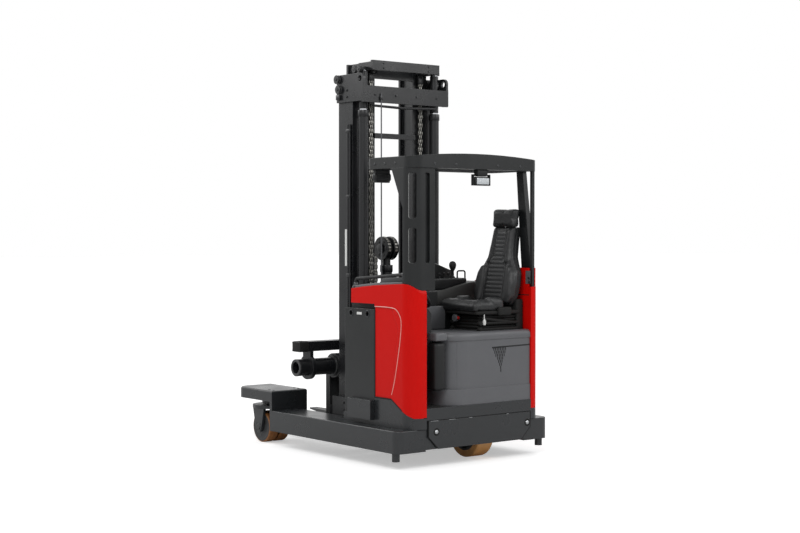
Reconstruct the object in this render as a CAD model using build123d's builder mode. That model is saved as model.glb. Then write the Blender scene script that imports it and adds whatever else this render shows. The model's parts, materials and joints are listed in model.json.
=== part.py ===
from build123d import *
import os
from math import hypot

os.makedirs("parts", exist_ok=True)

# A four-way reach truck, in millimetres. X points forward to the fork tips, Y to the truck's left, Z up.
# The origin is on the floor, midway between the rear face and the fork tips.

# Layout along the truck, from the rear face forwards
CAB_LENGTH = 430            # rear face to the back of the battery
BATTERY_LENGTH = 370
MAST_BAY = 190              # battery to the rear flanges of the mast rails
RAIL_DEPTH = 180
FORK_AHEAD = 255            # mast rails to the front face of the fork shanks
FORK_LENGTH = 1075          # shank face to fork tip
REAR_OVERHANG = 270         # rear face to the drive axle
WHEELBASE = 1605

OVERALL_LENGTH = CAB_LENGTH + BATTERY_LENGTH + MAST_BAY + RAIL_DEPTH + FORK_AHEAD + FORK_LENGTH
REAR_X = -OVERALL_LENGTH / 2
BATTERY_REAR_X = REAR_X + CAB_LENGTH
BATTERY_FRONT_X = BATTERY_REAR_X + BATTERY_LENGTH
RAIL_REAR_X = BATTERY_FRONT_X + MAST_BAY
RAIL_FRONT_X = RAIL_REAR_X + RAIL_DEPTH
SHANK_FRONT_X = RAIL_FRONT_X + FORK_AHEAD
FORK_TIP_X = SHANK_FRONT_X + FORK_LENGTH
DRIVE_X = REAR_X + REAR_OVERHANG
LOAD_X = DRIVE_X + WHEELBASE

# Clearances
RUN = 0.3                   # a running fit, and a load on its stop
GAP = 6                     # open seam between covers, and between pieces that pass

# Body and mast, from which the covers, the guard and the mast heads take their places
BODY_HALF = 612
MAST_TOP = 2980

# Legs
LEG_OUTER_Y = BODY_HALF + 115
LEG_WIDTH = 255
LEG_BOTTOM = 120
LEG_TOP = 280
LEG_END_RADIUS = 60
LEG_EDGE = 8
CHANNEL_DEPTH = 62
CHANNEL_BOTTOM = 165
CHANNEL_HEIGHT = 86
POST_RADIUS = 28
POST_BOTTOM = 60
POST_INSET = 70             # guide post from the leg's rear end
POST_SIDE = 40              # and from its outer face
LEG_INNER_Y = LEG_OUTER_Y - LEG_WIDTH

# Load wheels, yokes and hoods
WHEEL_Y = LEG_OUTER_Y - 167.5
LOAD_RADIUS = 125
LOAD_TREAD = 85
TWIN_GAP = 20
LOAD_RIM_RADIUS = 95
TYRE_EDGE = 9
LOAD_AXLE_RADIUS = 22
HOOD_HALF_LENGTH = 262
HOOD_WIDTH = 335
HOOD_TOP = 433
HOOD_LIP = 85
HOOD_PLATE = 36
HOOD_WALL = 30
HOOD_CORNER = 100
HOOD_EDGE = 16
SWIVEL_TOP = 300
SWIVEL_THICK = 26
SWIVEL_RADIUS = 150
KINGPIN_RADIUS = 32
BOSS_RADIUS = 74
ARM_THICK = 22
ARM_HALF_TOP = 78
ARM_HALF_LOW = 44
WHEEL_SIDE_GAP = 7
TWIN_HALF = LOAD_TREAD + TWIN_GAP / 2

# Drive wheel and its yoke
DRIVE_Y = 435 - BODY_HALF
DRIVE_RADIUS = 172
DRIVE_TREAD = 145
DRIVE_RIM_RADIUS = 122
DRIVE_AXLE_RADIUS = 32
GEARCASE_THICK = 50
GEARCASE_HALF = 60
TURNTABLE_RADIUS = 130
TURNTABLE_THICK = 26
KINGPOST_RADIUS = 80
MOTOR_RADIUS = 105
MOTOR_HEIGHT = 405

# Chassis
SKIRT_BOTTOM = 132
SEAM_Z = 341
DECK_TOP = 425
DECK_THICK = 25
PLATE = 25
PANEL_THICK = 12
PANEL_LEFT_Y = BODY_HALF - 158
PANEL_RIGHT_Y = 86 - BODY_HALF
PANEL_CHAMFER = 90
BATTERY_BASE = 345
BATTERY_HEIGHT = 775
BATTERY_HALF = BODY_HALF
BATTERY_EDGE = 10
LIFT_HOLE_RADIUS = 19
LIFT_HOLE_DEPTH = 30
LIFT_HOLE_DROP = 36
LIFT_HOLE_INSET = 85
SIDE_BOX_LENGTH = 280
SIDE_BOX_BOTTOM = 317
SIDE_BOX_TOP = 460
SIDE_BOX_OUT = 40
BATTERY_TOP = BATTERY_BASE + BATTERY_HEIGHT

# Body covers
COVER_WALL = 60
RIGHT_WALL = 80
CORNER_RADIUS = 110
RIGHT_CORNER = 55
COVER_LOW = 360             # lower edge at the rear corner
COVER_KNEE = 482            # lower edge ahead of the knee
KNEE_X = REAR_X + 230
ARM_FRONT_X = REAR_X + 716
ARM_BOTTOM = 1159
ARM_TOP = 1264
COVER_REAR_TOP = 1245
COVER_CROWN = 1313
SHOULDER_X = REAR_X + 580   # where the straight top of the arm starts to bend
SHOULDER_Z = 1281
COVER_TOP_LINE = [          # x and height along the top edge of the left cover, from the arm to the rear
    (ARM_FRONT_X, ARM_TOP),
    (SHOULDER_X, SHOULDER_Z),
    (REAR_X + 427, COVER_CROWN - 18),
    (REAR_X + 216, COVER_CROWN - 6),
    (REAR_X + 100, COVER_CROWN),
    (REAR_X + 60, COVER_CROWN - 5),
    (REAR_X + 34, COVER_CROWN - 21),
    (REAR_X + 12, COVER_CROWN - 45),
    (REAR_X, COVER_REAR_TOP),
]
RIGHT_REAR_TOP = 1270
RIGHT_WALL_TOP = 1410
WALL_STEP_X = REAR_X + 30
POCKET = 8                  # the shallow panel pressed into the left cover
POCKET_TOP = 1140
CAB_LID_TOP = 1238
LID_FRONT = 10
SEAT_NOTCH_Y = 632 - BODY_HALF
SEAT_NOTCH = 130

# Seat hood, console and seat
HOOD_LEFT_Y = BODY_HALF - 357
SEAT_HOOD_TOP = 940
SEAT_HOOD_WALL = 25
SEAT_HOOD_CORNER = 170
SEAT_HOOD_INSET = 12
FLARE_HEIGHT = 118
FLARE_OUT = 30
CONSOLE_INNER_Y = BODY_HALF - 270
CONSOLE_BOTTOM = 690
CONSOLE_TOP = 1215
CONSOLE_SLOPE = 120
SEAT_X = REAR_X + 265
SEAT_WIDTH = 460
SEAT_BACK_Y = 57 - BODY_HALF
SEAT_DEPTH = 545
SEAT_FRONT_Y = SEAT_BACK_Y + SEAT_DEPTH
BACK_THICK = 100
BACK_TOP_THICK = 75
BACK_LEAN = 125
WING_TOP = 1430
NECK_LOW = 1515
NECK_WIDTH = 240
CUSHION_THICK = 72
PAN_THICK = 42
SUSPENSION_HEIGHT = 146
BACK_TOP = 1715
HEADREST_LOW = 1735
HEADREST_TOP = 1858
HEADREST_WIDTH = 250
SOFT_EDGE = 26
STEER_X = REAR_X + 270
STEER_RADIUS = 120
STEER_RIM = 24
COLUMN_RADIUS = 22
COLUMN_LENGTH = 60
ARMREST_X = BATTERY_FRONT_X - 150
ARMREST_WIDTH = 110
ARMREST_REAR_Y = -411
ARMREST_LENGTH = 470
ARMREST_LOW = 1250
ARMREST_THICK = 60
LEVER_BACK = 395            # lever behind the front end of the armrest
WEDGE_BACK = 206            # wedge behind the same end
WEDGE_LENGTH = 230
WEDGE_REAR = 1370
WEDGE_FRONT = 1450
WEDGE_WIDTH = 60
ARMREST_STEM = 40
LEVER_RADIUS = 12
LEVER_KNOB = 26
LEVER_HEIGHT = 115
PAN_TOP = SEAT_HOOD_TOP + SUSPENSION_HEIGHT + PAN_THICK

# Overhead guard
ROOF_LENGTH = 550
ROOF_BOTTOM = 2135
ROOF_EDGE_TOP = 2216
ROOF_CROWN = 2246
ROOF_FACETS = 10
ROOF_BEAM = 60
ROOF_FRONT_CORNER = 60
ROOF_BARS = 7
ROOF_BAR_WIDTH = 22
PILLAR_INSET = 10
ROOF_HALF = BODY_HALF - PILLAR_INSET
PILLAR_WALL = 40
PILLAR_FRONT_X = REAR_X + 114
PILLAR_TOP_FRONT_X = REAR_X + 245
PILLAR_SPLAY_Z = 1850
PILLAR_REAR_Y = BODY_HALF - 222
SLOT_WIDTH = 58
SLOTS = [                   # low and high end of each slot in the bend
    (1460, 1710),
    (1775, 2100),
]
RECESS_Y = BODY_HALF - 152
RECESS_WIDTH = 44
RIGHT_PILLAR_THICK = 40
RIGHT_FOOT_X = REAR_X + 139
RIGHT_HEAD_X = (REAR_X + 128, REAR_X + 196)
RIGHT_POST = 24
RIGHT_POST_Y = 40 - BODY_HALF
LAMP_DEPTH = 60
LAMPS = [                   # rear face, right face, width and height of each lamp box
    (REAR_X + ROOF_LENGTH - LAMP_DEPTH, ROOF_HALF - 200, 150, 95),
    (REAR_X + PILLAR_INSET, -155, 180, 120),
]
GRAB_RADIUS = 13
GRAB_Z = 1378
GRAB_DROP = 42
GRAB_FRONT_X = ARM_FRONT_X - 20
GRAB_BEND = 30

# Mast rails, one row a stage: name, inner face, outer face, low end, high end
MAST_HALF = LEG_INNER_Y - 76
STAGES = [
    ("outer", MAST_HALF - 66, MAST_HALF, 100, MAST_TOP - 100),
    ("middle", MAST_HALF - 138, MAST_HALF - 72, 110, MAST_TOP - 10),
    ("inner", MAST_HALF - 210, MAST_HALF - 144, 120, MAST_TOP - 20),
]
FLANGE = 22
WEB = 18
PAD_HEIGHT = 100
PAD_LOW = 200
HEAD_REAR_X = BATTERY_FRONT_X + 30
HEAD_PLATE = 20
HEAD_LOW = MAST_TOP - 310
HEAD_CORNER = 40
CROSSBAR_LOW = MAST_TOP - 320
CROSSBAR_HEIGHT = 125
EYE_RADIUS = 22
EYE_INSET = 42
TOPBAR_HALF = MAST_HALF - 69
TOPBAR_HEIGHT = 73
TOPBAR_TOP = MAST_TOP
TOPBAR_THICK = 25
LIFT_Y = MAST_HALF - 49
BARREL_RADIUS = 38
ROD_RADIUS = 30
BARREL_TOP = MAST_TOP - 380
CHAIN_Y = MAST_HALF - 154
CHAIN_WIDTH = 36
CHAIN_THICK = 20
CHAIN_LOW = 300
TIE_HEIGHT = 50
TIE_LOW = 110
INNER_TIE_LOW = MAST_TOP - 580
INNER_TIE_TALL = 40
SIDE_PLATE_TOP = 420
ROLLER_RADIUS = 40
FREE_BARREL_RADIUS = 45
FREE_ROD_RADIUS = 32
FREE_BARREL_TOP = 1420
SHEAVE_RADIUS = 85
SHEAVE_Z = FREE_BARREL_TOP + 132
SHEAVE_WIDTH = 34
FREE_CHAIN_LOW = 550
REACH_Y = 250
REACH_Z = 137
REACH_BARREL_RADIUS = 30
REACH_ROD_RADIUS = 19
LIFT_X = (HEAD_REAR_X + HEAD_PLATE + RAIL_REAR_X) / 2
CHAIN_X = RAIL_REAR_X - 2 * GAP - CHAIN_THICK / 2
FREE_X = RAIL_FRONT_X - SHEAVE_RADIUS

# Fork carriage and forks
TUBE_HALF = 690
TUBE_RADIUS = 65
TUBE_WALL = 20
TUBE_Z = 635
TUBE_BEHIND = 95            # tube centre behind the front face of the shanks
CHANNEL_Z = 760
CHANNEL_TALL = 75
CHANNEL_DEEP = 100
CHANNEL_WALL = 14
CARRIAGE_Y = MAST_HALF - 216
CARRIAGE_PLATE = 34
CARRIAGE_LOW = 250
CARRIAGE_TOP = 950
FACE_PLATE = 20
UPPER_PLATE_LOW = 600
END_BRACKET_Y = 575
BRACKET_THICK = 30
REST_BAR_Z = 230
REST_BAR_TALL = 90
FORK_Y = 280
FORK_WIDTH = 120
FORK_THICK = 45
FORK_TOP = 155
SHANK_THICK = 50
EYE_WALL = 30
TIP_TAPER = 320
TIP_THICK = 12
TIP_WIDTH = 70
TUBE_X = SHANK_FRONT_X - TUBE_BEHIND


def block(x, y, z, mode=Mode.ADD):
    """A box between the low and the high of each axis, in the part being built."""
    with Locations(((x[0] + x[1]) / 2, (y[0] + y[1]) / 2, (z[0] + z[1]) / 2)):
        Box(x[1] - x[0], y[1] - y[0], z[1] - z[0], mode=mode)


def rod(axis, at, ends, radius, mode=Mode.ADD):
    """A cylinder along an axis, at the two other coordinates, between its two ends."""
    middle = (ends[0] + ends[1]) / 2
    spot = {"X": (middle, *at), "Y": (at[0], middle, at[1]), "Z": (*at, middle)}[axis]
    turn = {"X": (0, 90, 0), "Y": (90, 0, 0), "Z": (0, 0, 0)}[axis]
    with Locations(Location(spot, turn)):
        Cylinder(radius, ends[1] - ends[0], mode=mode)


def both_sides(low, high):
    """The left and the right span of Y between two distances from the centre line."""
    return [(low, high), (-high, -low)]


def finish(piece, name):
    piece.part.label = name
    export_step(piece.part, f"parts/{name}.step")


def finish_pair(piece, name):
    """Writes a left-hand piece and its mirror image on the right."""
    finish(piece, f"{name}_left")
    with BuildPart() as twin:
        mirror(piece.part, about=Plane.XZ)
    finish(twin, f"{name}_right")


# Legs, with the roller channel along the inner side and a guide post under the rear end
LEG_REAR_X = REAR_X + PANEL_THICK
LEG_FRONT_X = LOAD_X - HOOD_HALF_LENGTH
with BuildPart() as leg:
    with BuildSketch(Plane.XY.offset(LEG_BOTTOM)) as leg_plan:
        with Locations(((LEG_REAR_X + LEG_FRONT_X) / 2, LEG_OUTER_Y - LEG_WIDTH / 2)):
            Rectangle(LEG_FRONT_X - LEG_REAR_X, LEG_WIDTH)
        fillet(leg_plan.vertices().group_by(Axis.X)[0].sort_by(Axis.Y)[-1], LEG_END_RADIUS)
    extrude(amount=LEG_TOP - LEG_BOTTOM)
    fillet(leg.faces().sort_by(Axis.Z)[-1].edges().group_by(Axis.Y)[-1], LEG_EDGE)
    block((BATTERY_REAR_X, LEG_FRONT_X), (LEG_INNER_Y, LEG_INNER_Y + CHANNEL_DEPTH),
          (CHANNEL_BOTTOM, CHANNEL_BOTTOM + CHANNEL_HEIGHT), Mode.SUBTRACT)
    rod("Z", (LEG_REAR_X + POST_INSET, LEG_OUTER_Y - POST_SIDE), (POST_BOTTOM, LEG_BOTTOM), POST_RADIUS)
finish_pair(leg, "leg")

# Hoods over the load wheels, with the boss that carries the kingpin
HOOD_BOTTOM = HOOD_TOP - HOOD_LIP
with BuildPart() as wheel_hood:
    with BuildSketch(Plane.XY.offset(HOOD_BOTTOM)) as hood_plan:
        with Locations((LOAD_X, LEG_OUTER_Y - HOOD_WIDTH / 2)):
            Rectangle(2 * HOOD_HALF_LENGTH, HOOD_WIDTH)
        fillet(hood_plan.vertices().group_by(Axis.X)[-1].sort_by(Axis.Y)[-1], HOOD_CORNER)
    extrude(amount=HOOD_LIP)
    fillet(wheel_hood.faces().sort_by(Axis.Z)[-1].edges(), HOOD_EDGE)
    with BuildSketch(Plane.XY.offset(HOOD_BOTTOM)) as hood_void:
        with Locations((LOAD_X, LEG_OUTER_Y - HOOD_WIDTH / 2)):
            Rectangle(2 * (HOOD_HALF_LENGTH - HOOD_WALL), HOOD_WIDTH - 2 * HOOD_WALL)
        fillet(hood_void.vertices().group_by(Axis.X)[-1].sort_by(Axis.Y)[-1], HOOD_CORNER - HOOD_WALL)
    extrude(amount=HOOD_LIP - HOOD_PLATE, mode=Mode.SUBTRACT)
    block((LEG_FRONT_X, LEG_FRONT_X + HOOD_WALL), (LEG_OUTER_Y - HOOD_WIDTH, LEG_OUTER_Y),
          (LEG_BOTTOM, HOOD_BOTTOM))
    rod("Z", (LOAD_X, WHEEL_Y), (SWIVEL_TOP + GAP, HOOD_TOP - HOOD_PLATE), BOSS_RADIUS)
    rod("Z", (LOAD_X, WHEEL_Y), (SWIVEL_TOP, HOOD_TOP - HOOD_PLATE), KINGPIN_RADIUS + RUN, Mode.SUBTRACT)
finish_pair(wheel_hood, "wheel_hood")

# Load yokes: swivel plate, kingpin, two tapered arms and the axle
ARM_INNER = TWIN_HALF + WHEEL_SIDE_GAP
with BuildPart() as load_yoke:
    rod("Z", (LOAD_X, WHEEL_Y), (SWIVEL_TOP - SWIVEL_THICK, SWIVEL_TOP), SWIVEL_RADIUS)
    rod("Z", (LOAD_X, WHEEL_Y), (SWIVEL_TOP, HOOD_TOP - HOOD_PLATE - RUN), KINGPIN_RADIUS)
    for arm_end in (WHEEL_Y + ARM_INNER + ARM_THICK, WHEEL_Y - ARM_INNER):
        with BuildSketch(Plane.XZ.offset(-arm_end)):
            with BuildLine():
                Polyline((LOAD_X - ARM_HALF_TOP, SWIVEL_TOP - SWIVEL_THICK),
                         (LOAD_X + ARM_HALF_TOP, SWIVEL_TOP - SWIVEL_THICK),
                         (LOAD_X + ARM_HALF_LOW, LOAD_RADIUS), (LOAD_X - ARM_HALF_LOW, LOAD_RADIUS), close=True)
            make_face()
            with Locations((LOAD_X, LOAD_RADIUS)):
                Circle(ARM_HALF_LOW)
        extrude(amount=ARM_THICK)
    rod("Y", (LOAD_X, LOAD_RADIUS), (WHEEL_Y - ARM_INNER, WHEEL_Y + ARM_INNER), LOAD_AXLE_RADIUS)
finish_pair(load_yoke, "load_yoke")

# Twin load wheels: one hub with two rims, and two tyres
TYRE_MIDDLES = [WHEEL_Y + side * (LOAD_TREAD + TWIN_GAP) / 2 for side in (1, -1)]
with BuildPart() as load_hub:
    rod("Y", (LOAD_X, LOAD_RADIUS), (WHEEL_Y - TWIN_HALF, WHEEL_Y + TWIN_HALF), LOAD_RIM_RADIUS - 2 * TYRE_EDGE)
    for middle_y in TYRE_MIDDLES:
        rod("Y", (LOAD_X, LOAD_RADIUS), (middle_y - LOAD_TREAD / 2, middle_y + LOAD_TREAD / 2), LOAD_RIM_RADIUS)
    rod("Y", (LOAD_X, LOAD_RADIUS), (WHEEL_Y - TWIN_HALF, WHEEL_Y + TWIN_HALF), LOAD_AXLE_RADIUS + RUN,
        Mode.SUBTRACT)
finish_pair(load_hub, "load_hub")

with BuildPart() as load_tyres:
    for middle_y in TYRE_MIDDLES:
        tread = (middle_y - LOAD_TREAD / 2, middle_y + LOAD_TREAD / 2)
        rod("Y", (LOAD_X, LOAD_RADIUS), tread, LOAD_RADIUS)
        rod("Y", (LOAD_X, LOAD_RADIUS), tread, LOAD_RIM_RADIUS, Mode.SUBTRACT)
    fillet(load_tyres.edges().filter_by(GeomType.CIRCLE).filter_by(lambda e: e.radius > LOAD_RIM_RADIUS + 1),
           TYRE_EDGE)
finish_pair(load_tyres, "load_tyres")

# Drive wheel, its yoke with the gear case on one side, and the motor above it
DRIVE_FACE = DRIVE_TREAD / 2
TURNTABLE_TOP = DECK_TOP - DECK_THICK - GAP
with BuildPart() as drive_yoke:
    rod("Z", (DRIVE_X, DRIVE_Y), (TURNTABLE_TOP - TURNTABLE_THICK, TURNTABLE_TOP), TURNTABLE_RADIUS)
    rod("Z", (DRIVE_X, DRIVE_Y), (TURNTABLE_TOP, DECK_TOP - RUN), KINGPOST_RADIUS)
    case_y = (DRIVE_Y - DRIVE_FACE - WHEEL_SIDE_GAP - GEARCASE_THICK, DRIVE_Y - DRIVE_FACE - WHEEL_SIDE_GAP)
    block((DRIVE_X - GEARCASE_HALF, DRIVE_X + GEARCASE_HALF), case_y,
          (DRIVE_RADIUS, TURNTABLE_TOP - TURNTABLE_THICK))
    rod("Y", (DRIVE_X, DRIVE_RADIUS), case_y, GEARCASE_HALF)
    rod("Y", (DRIVE_X, DRIVE_RADIUS), (case_y[1], DRIVE_Y + DRIVE_FACE), DRIVE_AXLE_RADIUS)
finish(drive_yoke, "drive_yoke")

with BuildPart() as drive_hub:
    rod("Y", (DRIVE_X, DRIVE_RADIUS), (DRIVE_Y - DRIVE_FACE, DRIVE_Y + DRIVE_FACE), DRIVE_RIM_RADIUS)
    rod("Y", (DRIVE_X, DRIVE_RADIUS), (DRIVE_Y + DRIVE_FACE - 3 * TYRE_EDGE, DRIVE_Y + DRIVE_FACE),
        DRIVE_RIM_RADIUS - 2 * TYRE_EDGE, Mode.SUBTRACT)
    rod("Y", (DRIVE_X, DRIVE_RADIUS), (DRIVE_Y - DRIVE_FACE, DRIVE_Y + DRIVE_FACE), DRIVE_AXLE_RADIUS + RUN,
        Mode.SUBTRACT)
finish(drive_hub, "drive_hub")

with BuildPart() as drive_tyre:
    tread = (DRIVE_Y - DRIVE_FACE, DRIVE_Y + DRIVE_FACE)
    rod("Y", (DRIVE_X, DRIVE_RADIUS), tread, DRIVE_RADIUS)
    rod("Y", (DRIVE_X, DRIVE_RADIUS), tread, DRIVE_RIM_RADIUS, Mode.SUBTRACT)
    fillet(drive_tyre.edges().filter_by(GeomType.CIRCLE).filter_by(lambda e: e.radius > DRIVE_RIM_RADIUS + 1),
           TYRE_EDGE)
finish(drive_tyre, "drive_tyre")

with BuildPart() as drive_motor:
    rod("Z", (DRIVE_X, DRIVE_Y), (DECK_TOP, DECK_TOP + MOTOR_HEIGHT), MOTOR_RADIUS)
finish(drive_motor, "drive_motor")

# Chassis: an open-bottomed tub between the legs, the battery bed across them and the step edge
BED_FRONT_X = BATTERY_FRONT_X + PLATE / 2
RIGHT_INNER_Y = -(BODY_HALF - RIGHT_WALL)
LEFT_INNER_Y = BODY_HALF - COVER_WALL
STEP_LEFT_Y = BODY_HALF - CORNER_RADIUS - COVER_WALL / 2
BAY_FRONT_X = DRIVE_X + hypot(DRIVE_RADIUS, DRIVE_FACE) + 2 * GAP
with BuildPart() as chassis:
    deck_y = (RIGHT_INNER_Y, STEP_LEFT_Y)
    rear_wall_x = (REAR_X + PANEL_THICK, REAR_X + PANEL_THICK + PLATE)
    block((REAR_X + PANEL_THICK, BATTERY_REAR_X), deck_y, (DECK_TOP - DECK_THICK, DECK_TOP))
    block((REAR_X + CORNER_RADIUS, BATTERY_REAR_X), (STEP_LEFT_Y, LEFT_INNER_Y), (DECK_TOP - DECK_THICK, DECK_TOP))
    block((REAR_X, rear_wall_x[1]), deck_y, (SEAM_Z, DECK_TOP))
    block(rear_wall_x, (-LEG_INNER_Y, LEG_INNER_Y), (SKIRT_BOTTOM, LEG_TOP))
    block(rear_wall_x, (-LEG_INNER_Y, STEP_LEFT_Y), (LEG_TOP, SEAM_Z))
    block((BATTERY_REAR_X, BED_FRONT_X), (-BATTERY_HALF, BATTERY_HALF), (LEG_TOP, BATTERY_BASE))
    for wall_x in (BAY_FRONT_X, BED_FRONT_X - PLATE):
        block((wall_x, wall_x + PLATE), (-LEG_INNER_Y, LEG_INNER_Y), (LEG_BOTTOM - PLATE, LEG_TOP))
    for wall_y in both_sides(LEG_INNER_Y - PLATE, LEG_INNER_Y):
        block((REAR_X + PANEL_THICK, BED_FRONT_X), wall_y, (SKIRT_BOTTOM, LEG_TOP))
        block((REAR_X + COVER_WALL, BATTERY_REAR_X), wall_y, (LEG_TOP, DECK_TOP - DECK_THICK))
    for box_y in both_sides(BATTERY_HALF, BATTERY_HALF + SIDE_BOX_OUT):
        block((BATTERY_REAR_X, BATTERY_REAR_X + SIDE_BOX_LENGTH), box_y, (SIDE_BOX_BOTTOM, SIDE_BOX_TOP))
    rod("Z", (DRIVE_X, DRIVE_Y), (DECK_TOP - DECK_THICK, DECK_TOP), KINGPOST_RADIUS + RUN, Mode.SUBTRACT)
    rod("X", (REACH_Y, REACH_Z), (BAY_FRONT_X, BED_FRONT_X), REACH_BARREL_RADIUS, Mode.SUBTRACT)
finish(chassis, "chassis")

with BuildPart() as rear_panel:
    with BuildSketch(Plane.YZ.offset(REAR_X)) as panel_face:
        with Locations(((PANEL_LEFT_Y + PANEL_RIGHT_Y) / 2, (SKIRT_BOTTOM + SEAM_Z - GAP) / 2)):
            Rectangle(PANEL_LEFT_Y - PANEL_RIGHT_Y, SEAM_Z - GAP - SKIRT_BOTTOM)
        chamfer(panel_face.vertices().group_by(Axis.Y)[0], PANEL_CHAMFER)
    extrude(amount=PANEL_THICK)
finish(rear_panel, "rear_panel")

with BuildPart() as battery:
    block((BATTERY_REAR_X, BATTERY_FRONT_X), (-BATTERY_HALF, BATTERY_HALF), (BATTERY_BASE, BATTERY_TOP))
    fillet(battery.edges().filter_by(Axis.Z), BATTERY_EDGE)
    for hole_x in (BATTERY_REAR_X + LIFT_HOLE_INSET, BATTERY_FRONT_X - LIFT_HOLE_INSET):
        for hole_y in both_sides(BATTERY_HALF - LIFT_HOLE_DEPTH, BATTERY_HALF):
            rod("Y", (hole_x, BATTERY_TOP - LIFT_HOLE_DROP), hole_y, LIFT_HOLE_RADIUS, Mode.SUBTRACT)
finish(battery, "battery")

# Left cover and the skirt under it share one plan: a side wall that turns the rear corner
for piece_name, is_cover in (("cover_left", True), ("skirt_left", False)):
    with BuildPart() as left_wall:
        with BuildSketch(Plane.XY.offset(LEG_TOP)) as wall_plan:
            with Locations(((REAR_X + ARM_FRONT_X) / 2, BODY_HALF - COVER_WALL / 2)):
                Rectangle(ARM_FRONT_X - REAR_X, COVER_WALL)
            with Locations((REAR_X + COVER_WALL / 2, (STEP_LEFT_Y + BODY_HALF) / 2)):
                Rectangle(COVER_WALL, BODY_HALF - STEP_LEFT_Y)
            fillet(wall_plan.vertices().sort_by_distance((REAR_X, BODY_HALF))[0], CORNER_RADIUS)
            fillet(wall_plan.vertices().sort_by_distance((REAR_X + COVER_WALL, LEFT_INNER_Y))[0],
                   CORNER_RADIUS - COVER_WALL)
        extrude(amount=COVER_CROWN + PLATE - LEG_TOP)
        with BuildSketch(Plane.XZ.offset(-BODY_HALF - GAP)):
            with BuildLine():
                if is_cover:
                    Polyline(*COVER_TOP_LINE, (REAR_X, COVER_LOW), (REAR_X + PLATE, COVER_LOW),
                             (KNEE_X, COVER_KNEE), (BATTERY_REAR_X, COVER_KNEE), (BATTERY_REAR_X, ARM_BOTTOM),
                             (ARM_FRONT_X, ARM_BOTTOM), close=True)
                else:
                    Polyline((REAR_X, LEG_TOP), (BATTERY_REAR_X, LEG_TOP), (BATTERY_REAR_X, COVER_KNEE - RUN),
                             (KNEE_X, COVER_KNEE - RUN), (REAR_X + PLATE, COVER_LOW - RUN),
                             (REAR_X, COVER_LOW - RUN), close=True)
            make_face()
        extrude(amount=2 * BODY_HALF, mode=Mode.INTERSECT)
        if is_cover:
            with BuildSketch(Plane.XZ.offset(-BODY_HALF - GAP)) as pocket:
                with BuildLine():
                    Polyline((BATTERY_REAR_X, COVER_KNEE), (BATTERY_REAR_X, POCKET_TOP),
                             (KNEE_X, POCKET_TOP), (KNEE_X - 3 * PLATE, POCKET_TOP - 6 * PLATE),
                             (KNEE_X, COVER_KNEE), close=True)
                make_face()
            extrude(amount=GAP + POCKET, mode=Mode.SUBTRACT)
    finish(left_wall, piece_name)

# Right cover and skirt: a thicker wall with a small corner, higher behind the seat
for piece_name, is_cover in (("cover_right", True), ("skirt_right", False)):
    with BuildPart() as right_wall:
        with BuildSketch(Plane.XZ.offset(BODY_HALF - RIGHT_WALL)):
            with BuildLine():
                if is_cover:
                    Polyline((REAR_X, COVER_LOW), (REAR_X, RIGHT_REAR_TOP), (WALL_STEP_X, RIGHT_REAR_TOP),
                             (WALL_STEP_X, RIGHT_WALL_TOP), (BATTERY_REAR_X, RIGHT_WALL_TOP),
                             (ARM_FRONT_X, ARM_TOP), (ARM_FRONT_X, ARM_BOTTOM), (BATTERY_REAR_X, ARM_BOTTOM),
                             (BATTERY_REAR_X, COVER_KNEE), (KNEE_X, COVER_KNEE), (REAR_X + PLATE, COVER_LOW),
                             close=True)
                else:
                    Polyline((REAR_X, LEG_TOP), (BATTERY_REAR_X, LEG_TOP), (BATTERY_REAR_X, COVER_KNEE - RUN),
                             (KNEE_X, COVER_KNEE - RUN), (REAR_X + PLATE, COVER_LOW - RUN),
                             (REAR_X, COVER_LOW - RUN), close=True)
            make_face()
        extrude(amount=RIGHT_WALL)
        corner_edges = right_wall.edges().filter_by(Axis.Z).group_by(Axis.X)[0].group_by(Axis.Y)[0]
        fillet(corner_edges, RIGHT_CORNER)
    finish(right_wall, piece_name)

# Lid over the battery, notched round the seat
with BuildPart() as battery_lid:
    lid_z = (BATTERY_TOP, CAB_LID_TOP)
    block((BATTERY_REAR_X, BATTERY_FRONT_X - LID_FRONT), (RIGHT_INNER_Y, LEFT_INNER_Y), lid_z)
    block((BATTERY_REAR_X, BATTERY_REAR_X + SEAT_NOTCH), (RIGHT_INNER_Y, SEAT_NOTCH_Y), lid_z, Mode.SUBTRACT)
    fillet(battery_lid.faces().sort_by(Axis.Z)[-1].edges(), LEG_EDGE)
finish(battery_lid, "battery_lid")

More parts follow.
